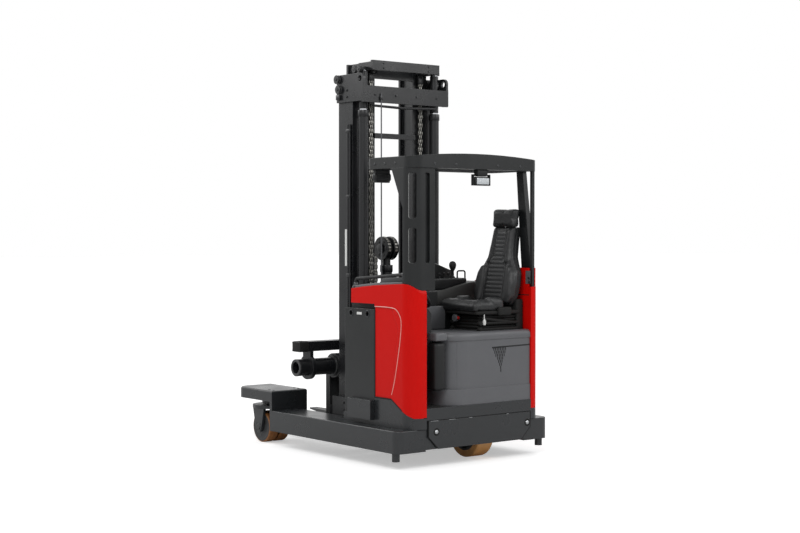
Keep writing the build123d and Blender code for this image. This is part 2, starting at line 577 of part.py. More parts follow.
# Grey hood under the seat, hollow round the motor
HOOD_REAR_X = REAR_X + SEAT_HOOD_INSET
with BuildPart() as seat_hood:
    with BuildSketch(Plane.XY.offset(DECK_TOP)) as flare_plan:
        flare_rear = HOOD_REAR_X - SEAT_HOOD_INSET / 2
        with Locations(((flare_rear + BATTERY_REAR_X) / 2, (RIGHT_INNER_Y + HOOD_LEFT_Y + FLARE_OUT) / 2)):
            Rectangle(BATTERY_REAR_X - flare_rear, HOOD_LEFT_Y + FLARE_OUT - RIGHT_INNER_Y)
        fillet(flare_plan.vertices().group_by(Axis.X)[0].sort_by(Axis.Y)[-1], SEAT_HOOD_CORNER)
    extrude(amount=FLARE_HEIGHT)
    with BuildSketch(Plane.XY.offset(DECK_TOP)) as hood_outline:
        with Locations(((HOOD_REAR_X + BATTERY_REAR_X) / 2, (RIGHT_INNER_Y + HOOD_LEFT_Y) / 2)):
            Rectangle(BATTERY_REAR_X - HOOD_REAR_X, HOOD_LEFT_Y - RIGHT_INNER_Y)
        fillet(hood_outline.vertices().group_by(Axis.X)[0].sort_by(Axis.Y)[-1], SEAT_HOOD_CORNER)
    extrude(amount=SEAT_HOOD_TOP - DECK_TOP)
    top_edges = seat_hood.faces().sort_by(Axis.Z)[-1].edges()
    fillet(top_edges.filter_by(Axis.X).group_by(Axis.Y)[-1] + top_edges.filter_by(GeomType.CIRCLE)
           + top_edges.filter_by(Axis.Y).group_by(Axis.X)[0], SOFT_EDGE)
    block((HOOD_REAR_X + SEAT_HOOD_WALL, BATTERY_REAR_X - SEAT_HOOD_WALL),
          (RIGHT_INNER_Y + SEAT_HOOD_WALL, HOOD_LEFT_Y - SEAT_HOOD_CORNER / 2),
          (DECK_TOP, SEAT_HOOD_TOP - SEAT_HOOD_WALL), Mode.SUBTRACT)
finish(seat_hood, "seat_hood")

# Console in front of the driver, who sits facing left
PILLAR_OUT_Y = BODY_HALF - PILLAR_INSET
CONSOLE_OUTER_Y = LEFT_INNER_Y
with BuildPart() as console:
    with BuildSketch(Plane.YZ.offset(REAR_X + CORNER_RADIUS)):
        with BuildLine():
            Polyline((CONSOLE_INNER_Y, CONSOLE_BOTTOM), (CONSOLE_OUTER_Y, CONSOLE_BOTTOM),
                     (CONSOLE_OUTER_Y, CONSOLE_TOP), (CONSOLE_INNER_Y + CONSOLE_SLOPE, CONSOLE_TOP),
                     (CONSOLE_INNER_Y, CONSOLE_TOP - CONSOLE_SLOPE), close=True)
        make_face()
    extrude(amount=CAB_LENGTH - CORNER_RADIUS)
finish(console, "console")

# Seat: suspension with the pan, cushion, backrest and headrest
SEAT_SPAN = (SEAT_X - SEAT_WIDTH / 2, SEAT_X + SEAT_WIDTH / 2)
PAN_FRONT_X = BATTERY_REAR_X - GAP
CUSHION_BACK_Y = SEAT_BACK_Y + BACK_LEAN + BACK_THICK + GAP
with BuildPart() as seat_base:
    block((SEAT_SPAN[0] + 3 * SOFT_EDGE, PAN_FRONT_X - SOFT_EDGE), (SEAT_BACK_Y + 3 * SOFT_EDGE, SEAT_FRONT_Y - 3 * SOFT_EDGE),
          (SEAT_HOOD_TOP, PAN_TOP - PAN_THICK))
    block((SEAT_SPAN[0] + SOFT_EDGE, PAN_FRONT_X), (SEAT_BACK_Y + BACK_LEAN / 2, SEAT_FRONT_Y - 2 * SOFT_EDGE),
          (PAN_TOP - PAN_THICK, PAN_TOP))
finish(seat_base, "seat_base")

with BuildPart() as seat_cushion:
    block(SEAT_SPAN, (CUSHION_BACK_Y, SEAT_FRONT_Y), (PAN_TOP, PAN_TOP + CUSHION_THICK))
    fillet(seat_cushion.edges().filter_by(Axis.Z), SOFT_EDGE)
    fillet(seat_cushion.faces().sort_by(Axis.Z)[-1].edges(), SOFT_EDGE)
finish(seat_cushion, "seat_cushion")

with BuildPart() as seat_back:
    with BuildSketch(Plane.YZ.offset(SEAT_SPAN[0])):
        with BuildLine():
            Polyline((SEAT_BACK_Y + BACK_LEAN, PAN_TOP), (SEAT_BACK_Y + BACK_LEAN + BACK_THICK, PAN_TOP),
                     (SEAT_BACK_Y + BACK_TOP_THICK, BACK_TOP), (SEAT_BACK_Y, BACK_TOP), close=True)
        make_face()
    extrude(amount=SEAT_WIDTH)
    with BuildSketch(Plane.XZ.offset(-SEAT_FRONT_Y)) as back_outline:
        with BuildLine():
            Polyline((SEAT_SPAN[0], PAN_TOP), (SEAT_SPAN[0], WING_TOP), (SEAT_X - NECK_WIDTH / 2, NECK_LOW),
                     (SEAT_X - NECK_WIDTH / 2, BACK_TOP), (SEAT_X + NECK_WIDTH / 2, BACK_TOP),
                     (SEAT_X + NECK_WIDTH / 2, NECK_LOW), (SEAT_SPAN[1], WING_TOP), (SEAT_SPAN[1], PAN_TOP),
                     close=True)
        make_face()
        fillet(back_outline.vertices(), SOFT_EDGE)
    extrude(amount=2 * SEAT_DEPTH, mode=Mode.INTERSECT)
finish(seat_back, "seat_back")

with BuildPart() as headrest:
    block((SEAT_X - HEADREST_WIDTH / 2, SEAT_X + HEADREST_WIDTH / 2), (SEAT_BACK_Y, SEAT_BACK_Y + BACK_TOP_THICK),
          (HEADREST_LOW, HEADREST_TOP))
    fillet(headrest.edges().filter_by(Axis.Y), SOFT_EDGE)
    for stalk_x in (SEAT_X - HEADREST_WIDTH / 4, SEAT_X + HEADREST_WIDTH / 4):
        rod("Z", (stalk_x, SEAT_BACK_Y + BACK_TOP_THICK / 2), (BACK_TOP, HEADREST_LOW), LEG_EDGE)
finish(headrest, "headrest")

# Armrest with its lever on the battery lid, and the steering wheel on the console
ARMREST_MIDDLE_Y = ARMREST_REAR_Y + ARMREST_LENGTH / 2
ARMREST_FRONT_Y = ARMREST_REAR_Y + ARMREST_LENGTH
LEVER_Y = ARMREST_FRONT_Y - LEVER_BACK
WEDGE_X = ARMREST_X + ARMREST_WIDTH / 2
WEDGE_FRONT_Y = ARMREST_FRONT_Y - WEDGE_BACK
LEVER_LOW = ARMREST_LOW + ARMREST_THICK
with BuildPart() as armrest:
    block((ARMREST_X - ARMREST_STEM / 2, ARMREST_X + ARMREST_STEM / 2),
          (ARMREST_MIDDLE_Y - ARMREST_STEM, ARMREST_MIDDLE_Y + ARMREST_STEM), (CAB_LID_TOP, ARMREST_LOW))
    block((ARMREST_X - ARMREST_WIDTH / 2, ARMREST_X + ARMREST_WIDTH / 2),
          (ARMREST_REAR_Y, ARMREST_REAR_Y + ARMREST_LENGTH), (ARMREST_LOW, LEVER_LOW))
    rod("Z", (ARMREST_X, LEVER_Y), (LEVER_LOW, LEVER_LOW + LEVER_HEIGHT), LEVER_RADIUS)
    with Locations((ARMREST_X, LEVER_Y, LEVER_LOW + LEVER_HEIGHT)):
        Sphere(LEVER_KNOB)
    with BuildSketch(Plane.YZ.offset(WEDGE_X)):
        with BuildLine():
            Polyline((WEDGE_FRONT_Y, CAB_LID_TOP), (WEDGE_FRONT_Y, WEDGE_FRONT),
                     (WEDGE_FRONT_Y - WEDGE_LENGTH, WEDGE_REAR), (WEDGE_FRONT_Y - WEDGE_LENGTH, CAB_LID_TOP),
                     close=True)
        make_face()
    extrude(amount=WEDGE_WIDTH)
finish(armrest, "armrest")

with BuildPart() as steering_wheel:
    steer_plane = Plane(origin=(STEER_X, CONSOLE_INNER_Y + CONSOLE_SLOPE / 2, CONSOLE_TOP - CONSOLE_SLOPE / 2),
                        z_dir=(0, -1, 1))
    with BuildSketch(steer_plane):
        Circle(COLUMN_RADIUS)
    extrude(amount=COLUMN_LENGTH)
    with BuildSketch(steer_plane.offset(COLUMN_LENGTH)):
        Circle(STEER_RADIUS)
        Circle(STEER_RADIUS - STEER_RIM, mode=Mode.SUBTRACT)
        Rectangle(2 * STEER_RADIUS - STEER_RIM, STEER_RIM)
        Circle(1.5 * COLUMN_RADIUS)
    extrude(amount=STEER_RIM)
finish(steering_wheel, "steering_wheel")

# Overhead guard: a frame of beams with bars, crowned across the truck
with BuildPart() as roof:
    with BuildSketch(Plane.XY.offset(ROOF_BOTTOM)) as roof_plan:
        with Locations((REAR_X + ROOF_LENGTH / 2, 0)):
            Rectangle(ROOF_LENGTH, 2 * ROOF_HALF)
        fillet(roof_plan.vertices().group_by(Axis.X)[0].sort_by(Axis.Y)[-1], CORNER_RADIUS - PILLAR_INSET)
        fillet(roof_plan.vertices().group_by(Axis.X)[0].sort_by(Axis.Y)[0], RIGHT_CORNER)
        fillet(roof_plan.vertices().group_by(Axis.X)[-1], ROOF_FRONT_CORNER)
        with Locations((REAR_X + ROOF_LENGTH / 2, 0)):
            RectangleRounded(ROOF_LENGTH - 2 * ROOF_BEAM, 2 * (ROOF_HALF - ROOF_BEAM), ROOF_BEAM,
                             mode=Mode.SUBTRACT)
        with Locations((REAR_X + ROOF_LENGTH / 2, 0)):
            with GridLocations(0, 2 * (ROOF_HALF - ROOF_BEAM) / (ROOF_BARS + 1), 1, ROOF_BARS):
                Rectangle(ROOF_LENGTH - ROOF_BEAM, ROOF_BAR_WIDTH)
    extrude(amount=ROOF_CROWN - ROOF_BOTTOM)
    with BuildSketch(Plane.YZ.offset(REAR_X - GAP)):
        with BuildLine():
            crown_line = []
            for facet in range(ROOF_FACETS + 1):
                across = 2 * facet / ROOF_FACETS - 1
                crown_line.append((across * ROOF_HALF, ROOF_CROWN - (ROOF_CROWN - ROOF_EDGE_TOP) * across ** 2))
            Polyline((-ROOF_HALF, ROOF_BOTTOM), *crown_line, (ROOF_HALF, ROOF_BOTTOM), close=True)
        make_face()
    extrude(amount=ROOF_LENGTH + 2 * GAP, mode=Mode.INTERSECT)
finish(roof, "roof")

# Left corner pillar: a plate bent round the corner, standing on the cover, with two slots and a recess
with BuildPart() as pillar_left:
    with BuildSketch(Plane.XY.offset(COVER_REAR_TOP)) as pillar_plan:
        pillar_rear = REAR_X + PILLAR_INSET
        with Locations(((pillar_rear + PILLAR_TOP_FRONT_X) / 2, PILLAR_OUT_Y - PILLAR_WALL / 2)):
            Rectangle(PILLAR_TOP_FRONT_X - pillar_rear, PILLAR_WALL)
        with Locations((pillar_rear + PILLAR_WALL / 2, (PILLAR_OUT_Y + PILLAR_REAR_Y) / 2)):
            Rectangle(PILLAR_WALL, PILLAR_OUT_Y - PILLAR_REAR_Y)
        fillet(pillar_plan.vertices().sort_by_distance((pillar_rear, PILLAR_OUT_Y))[0],
               CORNER_RADIUS - PILLAR_INSET)
        fillet(pillar_plan.vertices().sort_by_distance((pillar_rear + PILLAR_WALL, PILLAR_OUT_Y - PILLAR_WALL))[0],
               CORNER_RADIUS - PILLAR_INSET - PILLAR_WALL)
    extrude(amount=ROOF_BOTTOM - COVER_REAR_TOP)
    with BuildSketch(Plane.XZ.offset(-BODY_HALF)):
        with BuildLine():
            Polyline(*COVER_TOP_LINE, (REAR_X, ROOF_BOTTOM), (PILLAR_TOP_FRONT_X, ROOF_BOTTOM),
                     (PILLAR_FRONT_X, PILLAR_SPLAY_Z), (PILLAR_FRONT_X, COVER_CROWN + PLATE),
                     (ARM_FRONT_X, COVER_CROWN + PLATE), close=True)
        make_face()
    extrude(amount=2 * BODY_HALF, mode=Mode.INTERSECT)
    block((PILLAR_FRONT_X, ARM_FRONT_X), (PILLAR_REAR_Y, BODY_HALF), (COVER_REAR_TOP, PILLAR_SPLAY_Z),
          Mode.SUBTRACT)
    bend = (REAR_X + CORNER_RADIUS, BODY_HALF - CORNER_RADIUS)
    for slot_low, slot_high in SLOTS:
        slot_plane = Plane(origin=(*bend, (slot_low + slot_high) / 2), x_dir=(1, 1, 0), z_dir=(-1, 1, 0))
        with BuildSketch(slot_plane):
            RectangleRounded(SLOT_WIDTH, slot_high - slot_low, SLOT_WIDTH / 3)
        extrude(amount=2 * CORNER_RADIUS, mode=Mode.SUBTRACT)
    with BuildSketch(Plane.YZ.offset(REAR_X)):
        with Locations((RECESS_Y, (SLOTS[0][0] + SLOTS[1][1]) / 2)):
            RectangleRounded(RECESS_WIDTH, SLOTS[1][1] - SLOTS[0][0], RECESS_WIDTH / 3)
    extrude(amount=PILLAR_INSET + PILLAR_WALL / 2, mode=Mode.SUBTRACT)
finish(pillar_left, "pillar_left")

# Right pillar and the thin rear post, both on the right cover
with BuildPart() as pillar_right:
    with BuildSketch(Plane.XZ.offset(ROOF_HALF - RIGHT_PILLAR_THICK)):
        with BuildLine():
            Polyline((WALL_STEP_X + GAP, RIGHT_WALL_TOP), (RIGHT_FOOT_X, RIGHT_WALL_TOP),
                     (RIGHT_HEAD_X[1], ROOF_BOTTOM), (RIGHT_HEAD_X[0], ROOF_BOTTOM), close=True)
        make_face()
    extrude(amount=RIGHT_PILLAR_THICK)
    block((WALL_STEP_X - RIGHT_POST, WALL_STEP_X), (RIGHT_POST_Y, RIGHT_POST_Y + RIGHT_POST),
          (RIGHT_REAR_TOP, ROOF_BOTTOM))
finish(pillar_right, "pillar_right")

# Grab rail along the left side, from the front edge of the pillar to its foot on the arm of the cover
GRAB_Y = PILLAR_OUT_Y - PILLAR_WALL / 2
ARM_SLOPE = (SHOULDER_Z - ARM_TOP) / (ARM_FRONT_X - SHOULDER_X)
GRAB_FOOT = ARM_TOP + (ARM_FRONT_X - GRAB_FRONT_X + GRAB_RADIUS) * ARM_SLOPE + RUN
with BuildPart() as handrail:
    with BuildLine() as rail_path:
        FilletPolyline((PILLAR_FRONT_X + 4 * RUN, GRAB_Y, GRAB_Z), (GRAB_FRONT_X, GRAB_Y, GRAB_Z - GRAB_DROP),
                       (GRAB_FRONT_X, GRAB_Y, GRAB_FOOT), radius=GRAB_BEND)
    with BuildSketch(Plane(origin=rail_path.line @ 0, z_dir=rail_path.line % 0)):
        Circle(GRAB_RADIUS)
    sweep()
finish(handrail, "handrail")

# Lamps under the roof frame
with BuildPart() as lamps:
    for lamp_x, lamp_y, lamp_width, lamp_height in LAMPS:
        block((lamp_x, lamp_x + LAMP_DEPTH), (lamp_y, lamp_y + lamp_width),
              (ROOF_BOTTOM - lamp_height, ROOF_BOTTOM))
finish(lamps, "lamps")

# Mast rails: channels and I-beams that nest side by side, with wear pads at the lower ends
for row, (stage, inner_y, outer_y, low, high) in enumerate(STAGES):
    web_low = outer_y - WEB if stage == "outer" else (inner_y + outer_y - WEB) / 2
    with BuildPart() as rails:
        for side in (1, -1):
            face = sorted((side * inner_y, side * outer_y))
            web = sorted((side * web_low, side * (web_low + WEB)))
            block((RAIL_REAR_X, RAIL_REAR_X + FLANGE), face, (low, high))
            block((RAIL_FRONT_X - FLANGE, RAIL_FRONT_X), face, (low, high))
            block((RAIL_REAR_X, RAIL_FRONT_X), web, (low, high))
            if stage != "outer":
                pad = sorted((side * outer_y, side * (STAGES[row - 1][1] - RUN)))
                for pad_x in (RAIL_REAR_X, RAIL_FRONT_X - FLANGE):
                    block((pad_x, pad_x + FLANGE), pad, (PAD_LOW, PAD_LOW + PAD_HEIGHT))
    finish(rails, f"{stage}_rails")

OUTER_FACE = STAGES[0][2]
MIDDLE_IN, MIDDLE_OUT, MIDDLE_TOP = STAGES[1][1], STAGES[1][2], STAGES[1][4]
INNER_IN, INNER_LOW, INNER_TOP = STAGES[2][1], STAGES[2][3], STAGES[2][4]

# Head of the outer mast: two side plates with lifting eyes, and the crossbar behind the rails
with BuildPart() as outer_head:
    for plate_y in both_sides(OUTER_FACE, OUTER_FACE + HEAD_PLATE):
        block((HEAD_REAR_X, RAIL_FRONT_X), plate_y, (HEAD_LOW, STAGES[0][4]))
    fillet(outer_head.edges().filter_by(Axis.Y).group_by(Axis.Z)[-1].group_by(Axis.X)[0], HEAD_CORNER)
    block((HEAD_REAR_X, HEAD_REAR_X + HEAD_PLATE), (-OUTER_FACE - HEAD_PLATE, OUTER_FACE + HEAD_PLATE),
          (CROSSBAR_LOW, CROSSBAR_LOW + CROSSBAR_HEIGHT))
    for plate_y in both_sides(OUTER_FACE, OUTER_FACE + HEAD_PLATE):
        rod("Y", (HEAD_REAR_X + EYE_INSET, STAGES[0][4] - EYE_INSET), plate_y, EYE_RADIUS, Mode.SUBTRACT)
finish(outer_head, "outer_head")

# Reach carriage: the tie under the mast, the side plates and the rollers in the leg channels
ROLLER_Z = CHANNEL_BOTTOM + RUN + ROLLER_RADIUS
TIE_TOP = TIE_LOW + TIE_HEIGHT
with BuildPart() as reach_carriage:
    tie_half = LEG_INNER_Y - 2 * GAP
    block((LIFT_X - BARREL_RADIUS, RAIL_REAR_X), (-tie_half, tie_half), (TIE_LOW, TIE_TOP))
    for plate_y in both_sides(OUTER_FACE, LEG_INNER_Y - 2 * GAP):
        block((LIFT_X - BARREL_RADIUS, RAIL_FRONT_X), plate_y, (TIE_LOW, SIDE_PLATE_TOP))
    for roller_y in both_sides(LEG_INNER_Y - 2 * GAP, LEG_INNER_Y + CHANNEL_DEPTH - GAP):
        for roller_x in (RAIL_REAR_X, RAIL_FRONT_X - ROLLER_RADIUS):
            rod("Y", (roller_x, ROLLER_Z), roller_y, ROLLER_RADIUS)
finish(reach_carriage, "reach_carriage")

# Reach cylinder under the battery bed, its rod fixed to the reach carriage
REACH_END_X = LIFT_X - BARREL_RADIUS
with BuildPart() as reach_barrel:
    rod("X", (REACH_Y, REACH_Z), (DRIVE_X, BED_FRONT_X), REACH_BARREL_RADIUS)
    rod("X", (REACH_Y, REACH_Z), (DRIVE_X + PLATE, BED_FRONT_X), REACH_ROD_RADIUS + RUN, Mode.SUBTRACT)
finish(reach_barrel, "reach_barrel")

with BuildPart() as reach_rod:
    rod("X", (REACH_Y, REACH_Z), (DRIVE_X + 2 * PLATE, REACH_END_X), REACH_ROD_RADIUS)
finish(reach_rod, "reach_rod")

# Lift cylinders behind the rails
with BuildPart() as lift_barrels:
    for side in (1, -1):
        rod("Z", (LIFT_X, side * LIFT_Y), (TIE_TOP, BARREL_TOP), BARREL_RADIUS)
        rod("Z", (LIFT_X, side * LIFT_Y), (TIE_TOP + PLATE, BARREL_TOP), ROD_RADIUS + RUN, Mode.SUBTRACT)
finish(lift_barrels, "lift_barrels")

# Head of the middle mast: the top bar, its arms and the heads of the lift rods
TOPBAR_LOW = TOPBAR_TOP - TOPBAR_HEIGHT
with BuildPart() as middle_head:
    block((HEAD_REAR_X, HEAD_REAR_X + TOPBAR_THICK), (-TOPBAR_HALF, TOPBAR_HALF), (TOPBAR_LOW, TOPBAR_TOP))
    for arm_y in both_sides(MIDDLE_OUT - HEAD_PLATE, MIDDLE_OUT):
        block((HEAD_REAR_X, RAIL_REAR_X), arm_y, (TOPBAR_LOW, MIDDLE_TOP))
    for head_y in both_sides(MIDDLE_OUT - HEAD_PLATE, LIFT_Y + ROD_RADIUS):
        block((LIFT_X - ROD_RADIUS, LIFT_X + ROD_RADIUS), head_y, (TOPBAR_LOW, TOPBAR_LOW + PLATE))
    for foot_y in both_sides(CHAIN_Y - CHAIN_WIDTH, MIDDLE_OUT):
        block((CHAIN_X - CHAIN_THICK, RAIL_REAR_X), foot_y, (TOPBAR_LOW, TOPBAR_LOW + PLATE))
    block((RAIL_REAR_X - CHAIN_THICK, RAIL_REAR_X), (-MIDDLE_OUT, MIDDLE_OUT),
          (TIE_TOP + RUN, TIE_TOP + 2 * TIE_HEIGHT))
finish(middle_head, "middle_head")

with BuildPart() as lift_rods:
    for side in (1, -1):
        rod("Z", (LIFT_X, side * LIFT_Y), (TIE_TOP + 2 * PLATE, TOPBAR_LOW), ROD_RADIUS)
finish(lift_rods, "lift_rods")

with BuildPart() as lift_chains:
    for chain_y in both_sides(CHAIN_Y - CHAIN_WIDTH / 2, CHAIN_Y + CHAIN_WIDTH / 2):
        block((CHAIN_X - CHAIN_THICK / 2, CHAIN_X + CHAIN_THICK / 2), chain_y, (CHAIN_LOW, TOPBAR_LOW))
finish(lift_chains, "lift_chains")

# Cross ties of the inner mast, and the free-lift cylinder that stands on the lowest
with BuildPart() as inner_ties:
    block((RAIL_REAR_X - CHAIN_THICK, RAIL_REAR_X), (-INNER_IN - 2 * GAP, INNER_IN + 2 * GAP),
          (INNER_TIE_LOW, INNER_TIE_LOW + INNER_TIE_TALL))
    block((RAIL_REAR_X, RAIL_REAR_X + FLANGE), (-INNER_IN, INNER_IN), (INNER_TOP - 2 * TIE_HEIGHT, INNER_TOP))
    block((RAIL_REAR_X, RAIL_FRONT_X - 2 * FLANGE), (-INNER_IN, INNER_IN), (INNER_LOW, INNER_LOW + TIE_HEIGHT))
finish(inner_ties, "inner_ties")

with BuildPart() as free_barrel:
    rod("Z", (FREE_X, 0), (INNER_LOW + TIE_HEIGHT, FREE_BARREL_TOP), FREE_BARREL_RADIUS)
    rod("Z", (FREE_X, 0), (INNER_LOW + 2 * TIE_HEIGHT, FREE_BARREL_TOP), FREE_ROD_RADIUS + RUN, Mode.SUBTRACT)
finish(free_barrel, "free_barrel")

# Free-lift rod with its chain sheaves, and the chains that hang from them
with BuildPart() as free_rod:
    rod("Z", (FREE_X, 0), (INNER_LOW + 3 * TIE_HEIGHT, SHEAVE_Z), FREE_ROD_RADIUS)
    for sheave_y in both_sides(FREE_ROD_RADIUS / 2, FREE_ROD_RADIUS / 2 + SHEAVE_WIDTH):
        rod("Y", (FREE_X, SHEAVE_Z), sheave_y, SHEAVE_RADIUS)
    axle_half = FREE_ROD_RADIUS + SHEAVE_WIDTH
    rod("Y", (FREE_X, SHEAVE_Z), (-axle_half, axle_half), FREE_ROD_RADIUS)
finish(free_rod, "free_rod")

with BuildPart() as free_chains:
    for chain_y in both_sides(FREE_ROD_RADIUS / 2 + GAP / 2, FREE_ROD_RADIUS / 2 + SHEAVE_WIDTH - GAP / 2):
        block((FREE_X + SHEAVE_RADIUS, FREE_X + SHEAVE_RADIUS + 2 * GAP), chain_y, (FREE_CHAIN_LOW, SHEAVE_Z))
finish(free_chains, "free_chains")

# Fork carriage: side plates between the inner rails, face plates, the long channel and its brackets
FACE_X = TUBE_X - TUBE_RADIUS - EYE_WALL - 2 * GAP
CHANNEL_X = (TUBE_X - CHANNEL_DEEP / 2, TUBE_X + CHANNEL_DEEP / 2)
RING_RADIUS = TUBE_RADIUS + EYE_WALL
END_BRACKETS = both_sides(END_BRACKET_Y - BRACKET_THICK / 2, END_BRACKET_Y + BRACKET_THICK / 2)
with BuildPart() as carriage:
    for plate_y in both_sides(CARRIAGE_Y - CARRIAGE_PLATE, CARRIAGE_Y):
        block((RAIL_REAR_X + 3 * FLANGE, FACE_X), plate_y, (CARRIAGE_LOW, CARRIAGE_TOP))
    for pad_y in both_sides(CARRIAGE_Y, INNER_IN - RUN):
        for pad_low in (CARRIAGE_LOW + PLATE, CARRIAGE_TOP - PLATE - PAD_HEIGHT):
            block((RAIL_FRONT_X - FLANGE, RAIL_FRONT_X), pad_y, (pad_low, pad_low + PAD_HEIGHT))
    face_plates = [(CARRIAGE_LOW, CARRIAGE_LOW + 2 * TIE_HEIGHT), (UPPER_PLATE_LOW, CARRIAGE_TOP)]
    for plate_low, plate_high in face_plates:
        block((FACE_X - FACE_PLATE, FACE_X), (-CARRIAGE_Y, CARRIAGE_Y), (plate_low, plate_high))
    for bracket_y in both_sides(CARRIAGE_Y - CARRIAGE_PLATE, CARRIAGE_Y):
        block((FACE_X, TUBE_X), bracket_y, (TUBE_Z - RING_RADIUS, CHANNEL_Z + CHANNEL_TALL))
    for bracket_y in both_sides(CARRIAGE_Y - CARRIAGE_PLATE, CARRIAGE_Y) + END_BRACKETS:
        block(CHANNEL_X, bracket_y, (TUBE_Z, CHANNEL_Z))
        rod("Y", (TUBE_X, TUBE_Z), bracket_y, RING_RADIUS)
    rod("Y", (TUBE_X, TUBE_Z), (-TUBE_HALF, TUBE_HALF), TUBE_RADIUS, Mode.SUBTRACT)
    block(CHANNEL_X, (-TUBE_HALF, TUBE_HALF), (CHANNEL_Z, CHANNEL_Z + CHANNEL_TALL))
    block((CHANNEL_X[0] + CHANNEL_WALL, CHANNEL_X[1]), (-TUBE_HALF, TUBE_HALF),
          (CHANNEL_Z + CHANNEL_WALL, CHANNEL_Z + CHANNEL_TALL - CHANNEL_WALL), Mode.SUBTRACT)
    for bar_y in both_sides(CARRIAGE_Y - CARRIAGE_PLATE, CARRIAGE_Y):
        block((FACE_X, SHANK_FRONT_X - SHANK_THICK - RUN), bar_y, (REST_BAR_Z, REST_BAR_Z + REST_BAR_TALL))
    block((SHANK_FRONT_X - SHANK_THICK - RUN - PLATE, SHANK_FRONT_X - SHANK_THICK - RUN),
          (-FORK_Y - FORK_WIDTH / 2, FORK_Y + FORK_WIDTH / 2), (REST_BAR_Z, REST_BAR_Z + REST_BAR_TALL))
finish(carriage, "carriage")

with BuildPart() as carriage_tube:
    rod("Y", (TUBE_X, TUBE_Z), (-TUBE_HALF, TUBE_HALF), TUBE_RADIUS)
    rod("Y", (TUBE_X, TUBE_Z), (-TUBE_HALF, TUBE_HALF), TUBE_RADIUS - TUBE_WALL, Mode.SUBTRACT)
finish(carriage_tube, "carriage_tube")

# Forks, hung from the tube by their eyes, the blade tapered in thickness and in width towards the tip
FORK_BOTTOM = FORK_TOP - FORK_THICK
with BuildPart() as fork:
    with BuildSketch(Plane.XZ.offset(-FORK_Y - FORK_WIDTH / 2)) as fork_side:
        with BuildLine():
            Polyline((SHANK_FRONT_X - SHANK_THICK, TUBE_Z), (SHANK_FRONT_X - SHANK_THICK, FORK_BOTTOM),
                     (FORK_TIP_X - TIP_TAPER, FORK_BOTTOM), (FORK_TIP_X, FORK_TOP - TIP_THICK),
                     (FORK_TIP_X, FORK_TOP), (SHANK_FRONT_X, FORK_TOP), (SHANK_FRONT_X, TUBE_Z), close=True)
        make_face()
        fillet(fork_side.vertices().sort_by_distance((SHANK_FRONT_X - SHANK_THICK, FORK_BOTTOM))[0], FORK_THICK)
        with Locations((TUBE_X, TUBE_Z)):
            Circle(TUBE_RADIUS + EYE_WALL)
            Circle(TUBE_RADIUS + RUN, mode=Mode.SUBTRACT)
    extrude(amount=FORK_WIDTH)
    with BuildSketch(Plane.XY.offset(FORK_BOTTOM - GAP)):
        with BuildLine():
            Polyline((TUBE_X - 2 * TUBE_RADIUS, FORK_Y - FORK_WIDTH / 2),
                     (FORK_TIP_X - TIP_TAPER, FORK_Y - FORK_WIDTH / 2),
                     (FORK_TIP_X, FORK_Y - TIP_WIDTH / 2), (FORK_TIP_X, FORK_Y + TIP_WIDTH / 2),
                     (FORK_TIP_X - TIP_TAPER, FORK_Y + FORK_WIDTH / 2),
                     (TUBE_X - 2 * TUBE_RADIUS, FORK_Y + FORK_WIDTH / 2), close=True)
        make_face()
    extrude(amount=TUBE_Z + 2 * TUBE_RADIUS, mode=Mode.INTERSECT)
finish_pair(fork, "fork")
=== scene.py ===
import json
import math
import bpy
import bmesh
from mathutils import Matrix, Vector


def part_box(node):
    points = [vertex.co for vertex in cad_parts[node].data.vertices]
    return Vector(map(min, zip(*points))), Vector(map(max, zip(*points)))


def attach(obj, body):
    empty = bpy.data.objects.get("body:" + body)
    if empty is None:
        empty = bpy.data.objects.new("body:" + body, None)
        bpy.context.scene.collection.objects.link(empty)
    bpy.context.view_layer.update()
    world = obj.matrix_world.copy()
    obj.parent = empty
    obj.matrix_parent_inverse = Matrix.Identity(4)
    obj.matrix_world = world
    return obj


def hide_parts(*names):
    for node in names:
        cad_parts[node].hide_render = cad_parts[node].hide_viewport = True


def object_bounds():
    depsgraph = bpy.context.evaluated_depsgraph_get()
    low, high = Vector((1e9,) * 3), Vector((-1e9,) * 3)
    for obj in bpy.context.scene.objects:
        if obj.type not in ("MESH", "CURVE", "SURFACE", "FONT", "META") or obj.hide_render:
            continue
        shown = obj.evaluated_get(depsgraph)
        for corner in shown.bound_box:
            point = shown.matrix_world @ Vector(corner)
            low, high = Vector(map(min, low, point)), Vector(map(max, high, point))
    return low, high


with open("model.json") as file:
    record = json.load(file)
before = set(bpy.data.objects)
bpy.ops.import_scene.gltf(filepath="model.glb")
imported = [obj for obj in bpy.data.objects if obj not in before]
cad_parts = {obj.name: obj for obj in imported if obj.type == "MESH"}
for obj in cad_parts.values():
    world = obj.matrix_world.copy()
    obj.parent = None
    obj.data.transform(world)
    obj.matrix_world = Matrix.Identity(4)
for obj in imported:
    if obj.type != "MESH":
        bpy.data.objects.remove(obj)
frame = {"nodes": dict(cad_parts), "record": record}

cadLow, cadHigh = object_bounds()
rear = cadLow.x
nodes = frame["nodes"]
scene = bpy.context.scene


def linear(hexCode):
    parts = [int(hexCode[i:i + 2], 16) / 255 for i in (1, 3, 5)]
    return tuple(p / 12.92 if p <= 0.04045 else ((p + 0.055) / 1.055) ** 2.4 for p in parts) + (1.0,)


def addNode(tree, kind, inputs=None, **settings):
    node = tree.nodes.new(kind)
    for key, value in settings.items():
        setattr(node, key, value)
    for key, value in (inputs or {}).items():
        if isinstance(value, bpy.types.NodeSocket):
            tree.links.new(value, node.inputs[key])
        else:
            node.inputs[key].default_value = value
    return node


